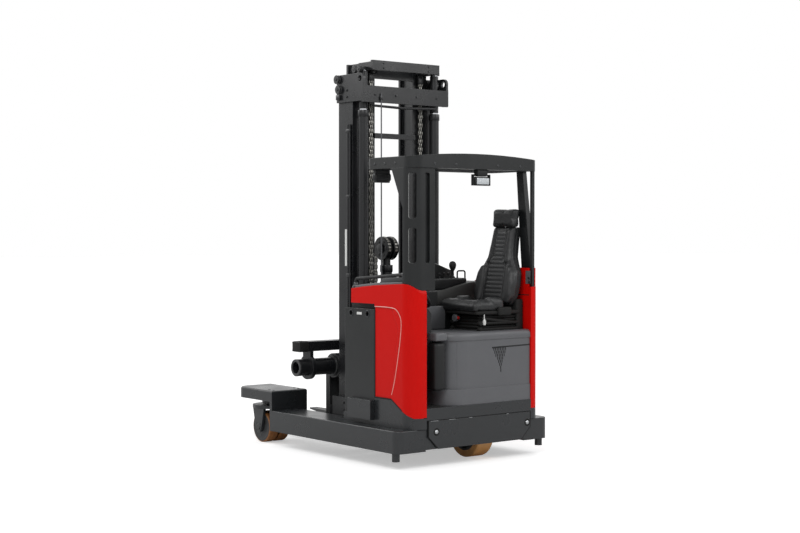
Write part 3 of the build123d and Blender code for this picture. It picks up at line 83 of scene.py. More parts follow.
# one finish: two close colours in soft clouds, grain that lifts the surface, edges rounded and rubbed
def makeFinish(name, colour, second, cloudMm, rough, grainMm, lift, edgeMm, more={}):
    material = bpy.data.materials.new(name)
    material.use_nodes = True
    tree = material.node_tree
    shader = tree.nodes["Principled BSDF"]
    place = addNode(tree, "ShaderNodeTexCoord").outputs["Object"]
    cloud = addNode(tree, "ShaderNodeTexNoise", {"Vector": place, "Scale": 1000 / cloudMm, "Detail": 5.0})
    tint = addNode(tree, "ShaderNodeMix",
                   {"Factor": cloud.outputs["Fac"], "A": linear(colour), "B": linear(second)},
                   data_type="RGBA")
    shown = [socket for socket in tint.outputs if socket.type == "RGBA"][0]
    soft = addNode(tree, "ShaderNodeBevel", {"Radius": edgeMm / 1000}, samples=4)
    if "rubbed" in more:
        hard = addNode(tree, "ShaderNodeNewGeometry").outputs["Normal"]
        lean = addNode(tree, "ShaderNodeVectorMath", {0: soft.outputs["Normal"], 1: hard},
                       operation="DOT_PRODUCT")
        edge = addNode(tree, "ShaderNodeMapRange",
                       {"Value": lean.outputs["Value"], "From Min": 0.98, "From Max": 0.8,
                        "To Max": more["rub"]})
        patch = addNode(tree, "ShaderNodeMath", {0: edge.outputs["Result"], 1: cloud.outputs["Fac"]},
                        operation="MULTIPLY", use_clamp=True)
        worn = addNode(tree, "ShaderNodeMix",
                       {"Factor": patch.outputs["Value"], "A": shown, "B": linear(more["rubbed"])},
                       data_type="RGBA")
        shown = [socket for socket in worn.outputs if socket.type == "RGBA"][0]
    tree.links.new(shown, shader.inputs["Base Color"])
    sheen = addNode(tree, "ShaderNodeMapRange",
                    {"Value": cloud.outputs["Fac"], "From Min": 0.3, "From Max": 0.7, "To Min": rough[0],
                     "To Max": rough[1]})
    tree.links.new(sheen.outputs["Result"], shader.inputs["Roughness"])
    if more.get("grain") == "pebble":
        grain = addNode(tree, "ShaderNodeTexVoronoi", {"Vector": place, "Scale": 1000 / grainMm},
                        feature="SMOOTH_F1").outputs["Distance"]
    else:
        grain = addNode(tree, "ShaderNodeTexNoise",
                        {"Vector": place, "Scale": 1000 / grainMm, "Detail": 3.0}).outputs["Fac"]
    bump = addNode(tree, "ShaderNodeBump",
                   {"Height": grain, "Strength": lift, "Distance": grainMm / 2000,
                    "Normal": soft.outputs["Normal"]})
    tree.links.new(bump.outputs["Normal"], shader.inputs["Normal"])
    shader.inputs["Metallic"].default_value = more.get("metal", 0.0)
    shader.inputs["Specular IOR Level"].default_value = more.get("specular", 0.5)
    shader.inputs["Coat Weight"].default_value = more.get("coat", 0.0)
    shader.inputs["Coat Roughness"].default_value = more.get("coatRough", 0.1)
    if "metal" not in more:
        shader.inputs["IOR"].default_value = 1.5  # paint, plastic and rubber
    return material


finishes = {  # columns as makeFinish names them
    # satin powder coat over plate: orange peel a few millimetres wide, edges rubbed to a lighter grey
    "powderCoat": ("#282A2C", "#242628", 240, (0.24, 0.36), 3, 0.1, 4,
        dict(rubbed="#46484A", rub=0.7, specular=0.45)),
    # satin black on the battery tray and the guard: darker than the legs, smooth
    "satinBlack": ("#141617", "#181A1B", 240, (0.28, 0.4), 3, 0.08, 4,
        dict(rubbed="#3C3E40", rub=0.6, specular=0.38)),
    # satin red lacquer on moulded panels: even and deep, with long soft reflections
    "redLacquer": ("#CE0C06", "#C40B05", 500, (0.34, 0.42), 5, 0.03, 9, dict(specular=0.11)),
    # moulded polyethylene with an eroded grain: dull, pale grey where light rakes it
    "greyMoulding": ("#5E5F62", "#58595C", 180, (0.36, 0.48), 2.5, 0.22, 10, dict(specular=0.4)),
    # black ABS moulding, grained like fine leather
    "blackMoulding": ("#151617", "#1A1B1C", 120, (0.42, 0.55), 3, 0.18, 5,
        dict(grain="pebble", specular=0.28)),
    # coated seat fabric: soft pebble grain, a dull sheen on the crowns
    "seatHide": ("#222324", "#1B1C1D", 70, (0.36, 0.48), 3.5, 0.3, 1, dict(grain="pebble", specular=0.4)),
    # mast paint: black over rolled steel, rubbed bright on the running edges and dulled by grease
    "mastPaint": ("#1C1D1F", "#17181A", 160, (0.24, 0.4), 6, 0.12, 3,
        dict(rubbed="#6A6B6D", rub=0.8, specular=0.4)),
    # fork paint: black, scraped to grey on its edges
    "forkPaint": ("#232425", "#2C2D2E", 90, (0.38, 0.55), 5, 0.15, 4, dict(rubbed="#8A8A8A", rub=1.0)),
    # hard chrome on ground rod: mirror with faint grinding haze
    "hardChrome": ("#C9CBCE", "#BFC1C4", 40, (0.08, 0.16), 2, 0.02, 1, dict(metal=1.0)),
    # oiled chain plate: dark steel with an amber film
    "oiledSteel": ("#B2B1AC", "#5A5852", 10, (0.3, 0.45), 2, 0.1, 0.8, dict(metal=1.0)),
    # zinc plated fastener: pale, slightly mottled
    "zincPlate": ("#B9BBBD", "#A2A4A6", 8, (0.25, 0.38), 1.5, 0.06, 0.8, dict(metal=1.0)),
    # painted cast iron wheel centre: coarse sand skin
    "castIron": ("#2B2C2D", "#343536", 60, (0.5, 0.65), 2.5, 0.35, 3),
    # poured polyurethane tread: tan, dull, dusty bands where it rolls
    "tanPolyurethane": ("#CF9A5E", "#BC8449", 45, (0.42, 0.6), 3, 0.12, 3),
    # poured polyurethane of the load wheels: browner, scuffed by the floor
    "brownPolyurethane": ("#96622F", "#7F4F26", 45, (0.45, 0.62), 3, 0.12, 3),
    # black rubber: matt, dusty in the hollows
    "blackRubber": ("#121212", "#1A1A19", 40, (0.65, 0.8), 1.5, 0.15, 1.5, dict(specular=0.25)),
    # blank vinyl plate: even white with a slight curl of gloss
    "whiteVinyl": ("#D9DAD8", "#CFD0CE", 30, (0.3, 0.4), 2, 0.03, 0.5),
    # charcoal polypropylene beside the seat: smooth and dull
    "charcoalMoulding": ("#3E3E3D", "#393938", 150, (0.5, 0.6), 2.5, 0.15, 4, dict(specular=0.35)),
    # pale bead on the red cover: a painted highlight, a pale colour standing for the light caught along the
    # edge of the pressed panel
    "paleBead": ("#E2A49C", "#D9968D", 60, (0.3, 0.4), 3, 0.03, 1),
    # red nylon of the seat knob
    "redNylon": ("#C01A14", "#AE150F", 20, (0.4, 0.5), 1.5, 0.08, 1),
    # smoked polycarbonate of lamp lenses and the display
    "smokedLens": ("#101214", "#15181A", 60, (0.05, 0.09), 4, 0.01, 1, dict(coat=1.0, coatRough=0.03)),
    # clear lens over a bright reflector
    "clearLens": ("#C8CDD0", "#B4BABD", 12, (0.05, 0.12), 9, 0.5, 1,
        dict(grain="pebble", coat=1.0, coatRough=0.03)),
}
finish = {name: makeFinish(name, *row) for name, row in finishes.items()}
print("finishes made", len(finish))

finishOfSlot = {
    "chassis_paint": "powderCoat", "red_paint": "redLacquer", "grey_cover": "greyMoulding",
    "black_plastic": "blackMoulding", "seat_cover": "seatHide", "mast_paint": "mastPaint",
    "fork_steel": "forkPaint", "rod_chrome": "hardChrome", "chain_steel": "oiledSteel",
    "wheel_iron": "castIron", "polyurethane": "tanPolyurethane",
}
finishOfNode = {  # where a node differs from the rest of its slot
    "battery": "satinBlack", "roof": "satinBlack", "pillar_left": "satinBlack", "pillar_right": "satinBlack",
    "console": "satinBlack", "battery_lid": "blackMoulding", "free_rod": "mastPaint",
    "load_tyres_left": "brownPolyurethane", "load_tyres_right": "brownPolyurethane",
}
slotOfFinish = {look: slot for slot, look in finishOfSlot.items()}
slotOfFinish.update(
    blackRubber="black_plastic", charcoalMoulding="black_plastic", smokedLens="black_plastic",
    clearLens="black_plastic", zincPlate="chain_steel", whiteVinyl="grey_cover", paleBead="red_paint",
    redNylon="red_paint")
for part in frame["record"]["subparts"]:
    wanted = finish[finishOfNode.get(part["node"], finishOfSlot[part["material_slot"]])]
    mesh = nodes[part["node"]].data
    mesh.materials.clear()
    mesh.materials.append(wanted)


bench = bmesh.new()  # every shape is made here, until keep or swellPad takes it off


def turned(axis):
    return {"X": Matrix.Rotation(math.pi / 2, 4, "Y"), "Y": Matrix.Rotation(-math.pi / 2, 4, "X"),
            "Z": Matrix.Identity(4)}[axis]


# edges rounded by a bevel; clamped, it stops before it meets another
def roundEdges(rims, size, steps, clamp=False):
    return bmesh.ops.bevel(bench, geom=list(rims), offset=size, affect="EDGES", segments=steps, profile=0.5,
                           material=-1, clamp_overlap=clamp)["verts"]


def addBlock(low, high, edge=0.0, steps=2):
    low, high = Vector(low), Vector(high)
    made = bmesh.ops.create_cube(bench, size=1.0)["verts"]
    bmesh.ops.scale(bench, vec=high - low, verts=made)
    bmesh.ops.translate(bench, vec=(low + high) / 2, verts=made)
    if edge:
        made = roundEdges({e for v in made for e in v.link_edges}, edge, steps, clamp=True)
    return made


def addRod(axis, centre, length, radius, tip=None, sides=24, edge=0.0):
    made = bmesh.ops.create_cone(bench, cap_ends=True, segments=sides, depth=length, radius1=radius,
                                 radius2=radius if tip is None else tip,
                                 matrix=Matrix.Translation(centre) @ turned(axis))["verts"]
    if edge:
        rims = {e for v in made for e in v.link_edges}
        roundEdges([e for e in rims if any(len(f.verts) > 4 for f in e.link_faces)], edge, 2)
    return made


# a turned shape: radius and distance along the axis, spun about it
def addTurned(axis, centre, outline, sides=32, out=1):
    spin = Matrix.Translation(centre) @ turned(axis)
    ring = [bench.verts.new(spin @ Vector((radius, 0, along * out))) for radius, along in outline]
    edges = [bench.edges.new(pair) for pair in zip(ring, ring[1:])]
    bmesh.ops.spin(bench, geom=ring + edges, cent=centre, axis=spin.to_3x3() @ Vector((0, 0, 1)),
                   angle=2 * math.pi, steps=sides, use_merge=True)
    bmesh.ops.remove_doubles(bench, verts=bench.verts[:], dist=1e-6)


# a slab: an outline across the axis, raised from start to end along it
def addSlab(axis, outline, start, end, edge=0.0, steps=2):
    order = {"X": (2, 0, 1), "Y": (0, 2, 1), "Z": (0, 1, 2)}[axis]
    ring = [bench.verts.new([(a, b, start)[i] for i in order]) for a, b in outline]
    raised = bmesh.ops.extrude_face_region(bench, geom=[bench.faces.new(ring)], use_keep_orig=True)["geom"]
    top = [v for v in raised if isinstance(v, bmesh.types.BMVert)]
    bmesh.ops.translate(bench, vec=[(0, 0, end - start)[i] for i in order], verts=top)
    made = ring + top
    if edge:
        made = roundEdges({e for v in made for e in v.link_edges}, edge, steps, clamp=True)
    return made


# a round tube along a line of places: straight between them, or drawn through as one smooth curve
def addTube(places, radius, smooth=False):
    line = bpy.data.curves.new("tube", "CURVE")
    line.dimensions = "3D"
    line.bevel_depth = radius
    line.bevel_resolution = 2
    line.resolution_u = 8
    line.use_fill_caps = not smooth
    spline = line.splines.new("NURBS" if smooth else "POLY")
    spline.points.add(len(places) - 1)
    for point, place in zip(spline.points, places):
        point.co = (*place, 1)
    if smooth:
        spline.order_u = 3
        spline.use_endpoint_u = True
    rod = bpy.data.objects.new("tube", line)
    mesh = bpy.data.meshes.new_from_object(rod)
    bench.from_mesh(mesh)
    bpy.data.objects.remove(rod)
    bpy.data.curves.remove(line)
    bpy.data.meshes.remove(mesh)


# a bent rod through a few points, its corners rounded by a bevel
def addBent(points, radius, bend):
    path = bmesh.new()
    verts = [path.verts.new(point) for point in points]
    for pair in zip(verts, verts[1:]):
        path.edges.new(pair)
    bmesh.ops.bevel(path, geom=verts[1:-1], offset=bend, affect="VERTICES", segments=5, profile=0.5,
                    material=-1)
    end = min((v for v in path.verts if len(v.link_edges) == 1),
              key=lambda v: (v.co - Vector(points[0])).length)
    walk, edge = [end.co[:]], end.link_edges[0]
    while edge:
        end = edge.other_vert(end)
        walk.append(end.co[:])
        edge = next((e for e in end.link_edges if e != edge), None)
    path.free()
    addTube(walk, radius)


# a hexagon head on its washer, standing out along the axis
def addBolt(axis, centre, size, out):
    step = Vector({"X": (1, 0, 0), "Y": (0, 1, 0), "Z": (0, 0, 1)}[axis]) * out
    addRod(axis, Vector(centre) + step * size * 0.1, size * 0.2, size * 0.95, sides=20)
    addRod(axis, Vector(centre) + step * size * 0.48, size * 0.56, size * 0.78, sides=6)


# places evenly round an axis that runs along y
def ringSpots(centre, radius, count, firstDeg=0):
    angles = [math.radians(360 / count * turn + firstDeg) for turn in range(count)]
    return [(centre.x + radius * math.cos(angle), centre.z + radius * math.sin(angle)) for angle in angles]


sharpDeg = 32  # steeper edges stay crisp


# a finished piece: its mesh, look and body, and the nodes that it stands for
def keep(name, look, body="chassis", hides=()):
    bmesh.ops.recalc_face_normals(bench, faces=bench.faces[:])
    mesh = bpy.data.meshes.new(name)
    bench.to_mesh(mesh)
    bench.clear()
    for face in mesh.polygons:
        face.use_smooth = True
    mesh.set_sharp_from_angle(angle=math.radians(sharpDeg))
    mesh.materials.append(finish[look])
    piece = bpy.data.objects.new(name, mesh)
    scene.collection.objects.link(piece)
    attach(piece, body)
    if hides:
        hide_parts(*hides)
    return piece


cameraView = dict(
    place=(-9.459, 7.138, 1.68), heading=(0.7875, -0.6163), downDeg=1.322, lens=67.3, sensor=36,
    farthest=200)
lens = bpy.data.cameras.new("photoCamera")
lens.lens = cameraView["lens"]
lens.sensor_width = cameraView["sensor"]
lens.clip_end = cameraView["farthest"]
camera = bpy.data.objects.new("photoCamera", lens)
scene.collection.objects.link(camera)
drop = math.radians(cameraView["downDeg"])
ahead = Vector((*cameraView["heading"], 0)).normalized() * math.cos(drop) + Vector((0, 0, -math.sin(drop)))
camera.location = cameraView["place"]
camera.rotation_euler = ahead.to_track_quat("-Z", "Y").to_euler()
scene.camera = camera
scene.view_settings.view_transform = "Standard"

# the floor is lifted to white with distance, for the camera alone, so that the shadow stays near the object
studio = dict(
    skyStrength=0.42, aim=(-0.4, 0, 1.1), floorSize=160, floorColour="#F2F2F2", floorRough=0.95,
    liftNear=0.43, liftFar=0.66, liftFrom=3.0, liftTo=11.0)
lampRows = [  # place, width, height, watts
    ((-5.0, 5.5, 6.5), 4.5, 3.0, 250),
    ((-6.0, -3.0, 5.0), 3.5, 3.0, 130),
    ((5.0, 3.5, 5.5), 4.0, 3.0, 170),
    ((0.5, -5.5, 4.5), 3.5, 2.5, 90),
]
for row, (place, width, height, watts) in enumerate(lampRows):
    lamp = bpy.data.lights.new(f"softbox{row}", "AREA")
    lamp.shape = "RECTANGLE"
    lamp.size = width
    lamp.size_y = height
    lamp.energy = watts
    box = bpy.data.objects.new(f"softbox{row}", lamp)
    scene.collection.objects.link(box)
    box.location = place
    box.rotation_euler = (Vector(studio["aim"]) - Vector(place)).to_track_quat("-Z", "Y").to_euler()

sky = bpy.data.worlds.new("studioSky")
sky.use_nodes = True
scene.world = sky
tree = sky.node_tree
backdrop = tree.nodes["Background"]
path = addNode(tree, "ShaderNodeLightPath")
direct = addNode(tree, "ShaderNodeMath",
                 {0: path.outputs["Is Camera Ray"], 1: path.outputs["Is Transmission Ray"]},
                 operation="MAXIMUM")
seen = addNode(tree, "ShaderNodeMath", {0: direct.outputs["Value"], 1: path.outputs["Is Glossy Ray"]},
               operation="MAXIMUM")
level = addNode(tree, "ShaderNodeMapRange",
                {"Value": seen.outputs["Value"], "To Min": studio["skyStrength"], "To Max": 1.0})
tree.links.new(level.outputs["Result"], backdrop.inputs["Strength"])
backdrop.inputs["Color"].default_value = (1, 1, 1, 1)

floorMesh = bmesh.new()
bmesh.ops.create_grid(floorMesh, x_segments=1, y_segments=1, size=studio["floorSize"] / 2)
floorData = bpy.data.meshes.new("studioFloor")
floorMesh.to_mesh(floorData)
floorMesh.free()
floor = bpy.data.objects.new("studioFloor", floorData)
scene.collection.objects.link(floor)
floorLook = bpy.data.materials.new("paleFloor")  # matt white paper: even, no gloss
floorLook.use_nodes = True
tree = floorLook.node_tree
paper = tree.nodes["Principled BSDF"]
paper.inputs["Base Color"].default_value = linear(studio["floorColour"])
paper.inputs["Roughness"].default_value = studio["floorRough"]
path = addNode(tree, "ShaderNodeLightPath")
span = addNode(tree, "ShaderNodeVectorMath", {0: addNode(tree, "ShaderNodeTexCoord").outputs["Object"]},
               operation="LENGTH")
glow = addNode(tree, "ShaderNodeMapRange",
               {"Value": span.outputs["Value"], "From Min": studio["liftFrom"],
                "From Max": studio["liftTo"], "To Min": studio["liftNear"], "To Max": studio["liftFar"]})
lift = addNode(tree, "ShaderNodeMath", {0: path.outputs["Is Camera Ray"], 1: glow.outputs["Result"]},
               operation="MULTIPLY")
paper.inputs["Emission Color"].default_value = (1, 1, 1, 1)
tree.links.new(lift.outputs["Value"], paper.inputs["Emission Strength"])
floorData.materials.append(floorLook)
print("camera, light and floor set")

# cloth steps, and how squarely a seam's side has to face it
swelling = dict(quality=4, frames=20, facing=0.3)


# seat: padded pieces swollen by cloth pressure from plain slabs, then sewn and leaned back
def swellPad(name, spec, node):
    raw = bpy.data.meshes.new(name + "Raw")
    bmesh.ops.recalc_face_normals(bench, faces=bench.faces[:])
    bench.to_mesh(raw)
    bench.clear()
    rough = bpy.data.objects.new(name + "Raw", raw)
    scene.collection.objects.link(rough)
    remesh = rough.modifiers.new("voxels", "REMESH")
    remesh.mode = "VOXEL"
    remesh.voxel_size = spec["voxel"]
    mesh = bpy.data.meshes.new_from_object(rough.evaluated_get(bpy.context.evaluated_depsgraph_get()))
    mesh.name = name
    bpy.data.objects.remove(rough)
    pad = bpy.data.objects.new(name, mesh)
    scene.collection.objects.link(pad)
    work = bmesh.new()
    work.from_mesh(mesh)
    for turn in range(spec["smooth"]):
        bmesh.ops.smooth_vert(work, verts=work.verts[:], factor=0.5, use_axis_x=True, use_axis_y=True,
            use_axis_z=True)
    work.to_mesh(mesh)
    work.free()
    before = [v.co.copy() for v in mesh.vertices]
    cloth = pad.modifiers.new("swell", "CLOTH")
    cloth.settings.use_pressure = True
    cloth.settings.uniform_pressure_force = spec["pressure"]
    cloth.settings.effector_weights.gravity = 0
    cloth.settings.quality = swelling["quality"]
    for step in range(1, swelling["frames"] + 1):
        scene.frame_set(step)
    swollen = bpy.data.meshes.new_from_object(pad.evaluated_get(bpy.context.evaluated_depsgraph_get()))
    moved = [v.co.copy() for v in swollen.vertices]
    pad.modifiers.remove(cloth)
    scene.frame_set(1)
    for vertex, was, now in zip(mesh.vertices, before, moved):
        step = now - was
        vertex.co = was + step.normalized() * min(step.length, spec["cap"])
    bpy.data.meshes.remove(swollen)
    low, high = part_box(node)
    for vertex in mesh.vertices:  # seams pull the cover in, then the pad leans and stays in its own space
        pull = 0.0
        for along, across, start, end, span, width, depth, side in spec["seams"]:
            share = (vertex.co[along] - span[0]) / (span[1] - span[0])
            if not 0 <= share <= 1 or vertex.normal.dot(Vector(side)) < swelling["facing"]:
                continue
            off = abs(vertex.co[across] - start - (end - start) * share) / width
            if off < 1:
                pull = max(pull, depth * (1 - off * off) ** 2)
        vertex.co -= vertex.normal * pull
        vertex.co.y += spec.get("lean", 0.0) * (vertex.co.z - low.z)
        for i in range(3):
            vertex.co[i] = min(max(vertex.co[i], low[i] - spec["room"][i]), high[i] + spec["room"][i])
        if "shelf" in spec and vertex.co.x > spec["shelf"][0]:
            vertex.co.z = max(vertex.co.z, spec["shelf"][1])
    for face in mesh.polygons:
        face.use_smooth = True
    mesh.materials.clear()
    mesh.materials.append(finish["seatHide"])
    finer = pad.modifiers.new("finer", "SUBSURF")
    finer.levels = 1
    finer.render_levels = 1
    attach(pad, "chassis")
    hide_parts(node)


# a place in a node's box, by shares of its three sides
def spot(node, x, y, z):
    low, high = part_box(node)
    return Vector((low.x + (high.x - low.x) * x, low.y + (high.y - low.y) * y,
                   low.z + (high.z - low.z) * z))


low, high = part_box("seat_cushion")
cushion = dict(
    voxel=0.006, pressure=4.0, cap=0.01, fill=0.7, smooth=7, bolster=0.105, channels=5,
    room=(0.006, 0.006, 0.031), seams=[],
    shelf=(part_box("battery")[0].x - 0.006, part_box("battery")[1].z + 0.002))
sideSeams = (low.x + cushion["bolster"], high.x - cushion["bolster"])
for seam in sideSeams:
    cushion["seams"].append((1, 0, seam, seam, (low.y, high.y - 0.05), 0.013, 0.01, (0, 0, 1)))
cushion["seams"].append((0, 1, high.y - 0.06, high.y - 0.06, (low.x, high.x), 0.012, 0.007, (0, 0, 1)))
for channel in range(cushion["channels"]):
    at = high.y - 0.1 - channel * 0.036
    cushion["seams"].append((0, 1, at, at, sideSeams, 0.011, 0.005, (0, 0, 1)))
addBlock(spot("seat_cushion", 0.1, 0.01, -0.44), spot("seat_cushion", 0.9, 0.95, 0.42), 0.02, 3)
for left, right in ((0.015, 0.22), (0.78, 0.985)):
    addBlock(spot("seat_cushion", left, 0.0, -0.4), spot("seat_cushion", right, 0.93, 0.62), 0.042, 5)
    addBlock(spot("seat_cushion", left + 0.01, 0.02, 0.05),
             spot("seat_cushion", right - 0.01, 0.5, 0.86), 0.034, 5)
addBlock(spot("seat_cushion", 0.02, 0.78, -0.46), spot("seat_cushion", 0.98, 0.995, 0.54), 0.042, 5)
swellPad("seatCushion", cushion, "seat_cushion")

low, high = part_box("seat_back")
seatMiddle = (low.x + high.x) / 2
backrest = dict(
    voxel=0.006, pressure=4.0, cap=0.008, fill=0.7, smooth=3, seams=[], room=(0.006, 0.006, 0.006),
    footY=low.y + 0.125, lean=-0.125 / (high.z - low.z), ribs=18, ribStep=0.031, ribFrom=1.155,
    ribDeep=0.0034,
    # half of each outline, from the middle of the seat outwards
    core=((0.165, 1.136), (0.212, 1.2), (0.222, 1.29), (0.212, 1.38), (0.175, 1.437), (0.14, 1.5),
          (0.127, 1.6), (0.117, 1.726)),
    wing=((0.12, 1.15), (0.165, 1.138), (0.21, 1.2), (0.22, 1.29), (0.208, 1.375), (0.165, 1.432),
          (0.124, 1.425), (0.112, 1.33)),
    neck=((0.066, 1.43), (0.134, 1.455), (0.13, 1.52), (0.112, 1.722), (0.062, 1.722)),
    panel=((1.14, 0.11), (1.42, 0.096), (1.5, 0.06), (1.725, 0.055)),
)
panelSteps = list(zip(backrest["panel"], backrest["panel"][1:]))
for (zLow, halfLow), (zHigh, halfHigh) in panelSteps:
    for side in (1, -1):
        start, end = seatMiddle + side * halfLow, seatMiddle + side * halfHigh
        backrest["seams"].append((2, 0, start, end, (zLow, zHigh), 0.012, 0.01, (0, 1, 0)))
for rib in range(backrest["ribs"]):
    z = backrest["ribFrom"] + rib * backrest["ribStep"]
    half = next(h0 + (h1 - h0) * (z - z0) / (z1 - z0) for (z0, h0), (z1, h1) in panelSteps if z <= z1)
    span = (seatMiddle - half, seatMiddle + half)
    backrest["seams"].append((0, 2, z, z, span, 0.01, backrest["ribDeep"], (0, 1, 0)))
outline = [(seatMiddle + x, z) for x, z in backrest["core"]]
outline += [(seatMiddle - x, z) for x, z in backrest["core"][::-1]]
addSlab("Y", outline, backrest["footY"] + 0.014, backrest["footY"] + 0.06, 0.016, 3)
for side in (1, -1):
    for form, front in (("wing", 0.088), ("neck", 0.068)):
        addSlab("Y", [(seatMiddle + side * x, z) for x, z in backrest[form]], backrest["footY"] + 0.03,
                backrest["footY"] + front, 0.018, 3)
swellPad("seatBackrest", backrest, "seat_back")
leanBack = Matrix.Identity(4)
leanBack[1][2] = backrest["lean"]
leanBack[1][3] = -backrest["lean"] * low.z
addSlab("Y", [(seatMiddle + (x - seatMiddle) * 0.93, z - 0.01) for x, z in outline],
        backrest["footY"] - 0.024, backrest["footY"] + 0.024, 0.014, 4)
bmesh.ops.transform(bench, matrix=leanBack, verts=bench.verts[:])
keep("seatShell", "blackMoulding")

low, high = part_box("headrest")
pillow = dict(
    voxel=0.005, pressure=4.0, cap=0.006, fill=0.8, smooth=2, lean=-0.09, stalk=0.009,
    room=(0.008, 0.006, 0.006), seams=[])
addBlock((low.x - 0.004, low.y + 0.012, low.z - 0.001),
         (high.x - 0.002, high.y + 0.003, high.z - 0.004), 0.024, 4)
swellPad("headrestPad", pillow, "headrest")
for across in (0.25, 0.75):
    foot = spot("headrest", across, 0.5, 0)
    addRod("Z", foot + Vector((0, 0, 0.008)), 0.05, pillow["stalk"], sides=16)
keep("headrestStalks", "blackMoulding")
print("seat padded")

# seat foot: rubber bellows over the suspension, pan, scissor arms and the controls along the near side
low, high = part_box("seat_base")
seatFoot = dict(folds=6, pan=0.04, knobAt=(-0.93, 1.04), leverAt=(-0.123, 1.022), armRise=0.045)
panLow = high.z - seatFoot["pan"]
foldTall = (panLow - low.z) / seatFoot["folds"]
for fold in range(seatFoot["folds"]):
    addBlock((low.x + 0.03, low.y + 0.006, low.z + fold * foldTall),
             (high.x - 0.02, high.y - 0.034, low.z + (fold + 1) * foldTall - 0.001), foldTall * 0.45, 3)
addBlock((low.x + 0.012, low.y - 0.032, low.z + 0.004),
         (high.x - 0.02, low.y + 0.04, high.z + 0.05), 0.016, 3)
keep("suspensionBellows", "blackRubber")
addBlock((low.x - 0.006, low.y + 0.02, panLow - 0.016),
         (high.x - 0.004, high.y + 0.02, high.z - 0.03), 0.01, 3)
for rise in (0.012, 0.012 + seatFoot["armRise"]):
    addBlock((low.x + 0.004, low.y + 0.03, low.z + rise),
             (low.x + 0.024, high.y - 0.01, low.z + rise + 0.02), 0.006, 2)
    for x in (low.x + 0.014, high.x - 0.04):
        addRod("X", (x, high.y - 0.03, low.z + rise + 0.01), 0.03, 0.017, sides=20, edge=0.003)
arm = addBlock((low.x + 0.002, low.y + 0.06, low.z + 0.075),
               (low.x + 0.012, high.y - 0.04, low.z + 0.093), 0.004, 2)
bmesh.ops.rotate(bench, cent=(low.x, (low.y + high.y) / 2, low.z + 0.084),
                 matrix=Matrix.Rotation(math.radians(7), 3, "X"), verts=arm)
addBlock((low.x - 0.024, -0.376, 1.062), (low.x + 0.004, -0.246, 1.124), 0.018, 4)
keep("seatPanTrim", "blackRubber", hides=("seat_base",))
knobX, knobZ = seatFoot["knobAt"]
addTurned("Y", (knobX, high.y - 0.036, knobZ),
          [(0.016, 0.0), (0.016, 0.02), (0.027, 0.024), (0.028, 0.046), (0.025, 0.05), (0.0, 0.05)],
          sides=28)
keep("seatKnob", "greyMoulding")
addTurned("X", (knobX - 0.022, high.y - 0.006, knobZ),
          [(0.0, -0.012), (0.01, -0.01), (0.013, -0.004), (0.013, 0.006)], sides=20)
keep("seatKnobCap", "redNylon")
leverY, leverZ = seatFoot["leverAt"]
addRod("Z", (low.x + 0.002, leverY, leverZ + 0.035), 0.05, 0.004, sides=10)
addTurned("Z", (low.x + 0.002, leverY, leverZ - 0.03),
          [(0.0, 0.0), (0.01, 0.004), (0.014, 0.018), (0.012, 0.034), (0.005, 0.048)], sides=20)
keep("seatLever", "whiteVinyl")
print("seat foot made")

# leaf chains: two ranks of flat links make one step, repeated along each run
chainRow = {
    "liftChainLinks": dict(node="lift_chains", body="middle_mast", pitch=0.0318, wide=0.036),
    "freeChainLinks": dict(node="free_chains", body="free_lift", pitch=0.0254, wide=0.028),
}
for name, row in chainRow.items():
    low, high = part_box(row["node"])
    thick = high.x - low.x
    for y in (high.y - row["wide"] / 2, low.y + row["wide"] / 2):
        for step, ranks in enumerate(((-0.21, 0.21), (-0.42, 0.0, 0.42))):
            for rank in ranks:
                link = addRod("Y", (0, y + rank * row["wide"], 0), row["wide"] * 0.17, thick * 0.5, sides=8)
                bmesh.ops.scale(bench, vec=(1, 1, row["pitch"] * 1.32 / thick), verts=link)
                bmesh.ops.translate(bench,
                                    vec=((low.x + high.x) / 2, 0, low.z + (step + 0.7) * row["pitch"]),
                                    verts=link)
    piece = keep(name, "oiledSteel", row["body"], hides=(row["node"],))
    rise = piece.modifiers.new("run", "ARRAY")
    rise.use_relative_offset = False
    rise.use_constant_offset = True
    rise.constant_offset_displace = (0, 0, 2 * row["pitch"])
    rise.count = int((high.z - low.z) / (2 * row["pitch"]))
print("chains linked")

# rear plate and footwell: domed bolts on dark washers, seams, bright strips on the top edge as painted
# highlights, the mat and the pedals
hoodLow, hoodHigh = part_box("seat_hood")
coverLow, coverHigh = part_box("cover_left")
wallLow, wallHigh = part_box("cover_right")
panelLow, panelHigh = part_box("rear_panel")
rearTrim = dict(
    boltsAt=((panelHigh.y - 0.072, 0.255), (panelLow.y + 0.03, 0.256)), seam=0.0028, corner=0.09,
    matTop=0.006, studs=(9, 4))
for y, z in rearTrim["boltsAt"]:
    addTurned("X", (rear, y, z),
              [(0.0, -0.009), (0.008, -0.008), (0.012, -0.006), (0.015, -0.002), (0.016, 0.0)])
keep("rearPlateBolts", "zincPlate")
for y, z in rearTrim["boltsAt"]:
    addTurned("X", (rear, y, z), [(0.015, -0.0015), (0.026, -0.0015), (0.028, 0.0)])
addBlock((rear - 0.0005, panelLow.y, panelHigh.z + 0.001),
         (rear + 0.01, panelHigh.y + 0.01, panelHigh.z + 0.005), 0.0008, 1)
for edge, inward in ((panelLow.y, 1), (panelHigh.y, -1)):
    corner = rearTrim["corner"]
    seam = ((edge, panelHigh.z), (edge, panelLow.z + corner), (edge + inward * corner, panelLow.z))
    for (y0, z0), (y1, z1) in zip(seam, seam[1:]):
        addSlab("X", ((y0 - rearTrim["seam"], z0), (y0 + rearTrim["seam"], z0), (y1 + rearTrim["seam"], z1),
                      (y1 - rearTrim["seam"], z1)), rear - 0.0008, rear + 0.006)
keep("rearPlateSeals", "blackRubber")
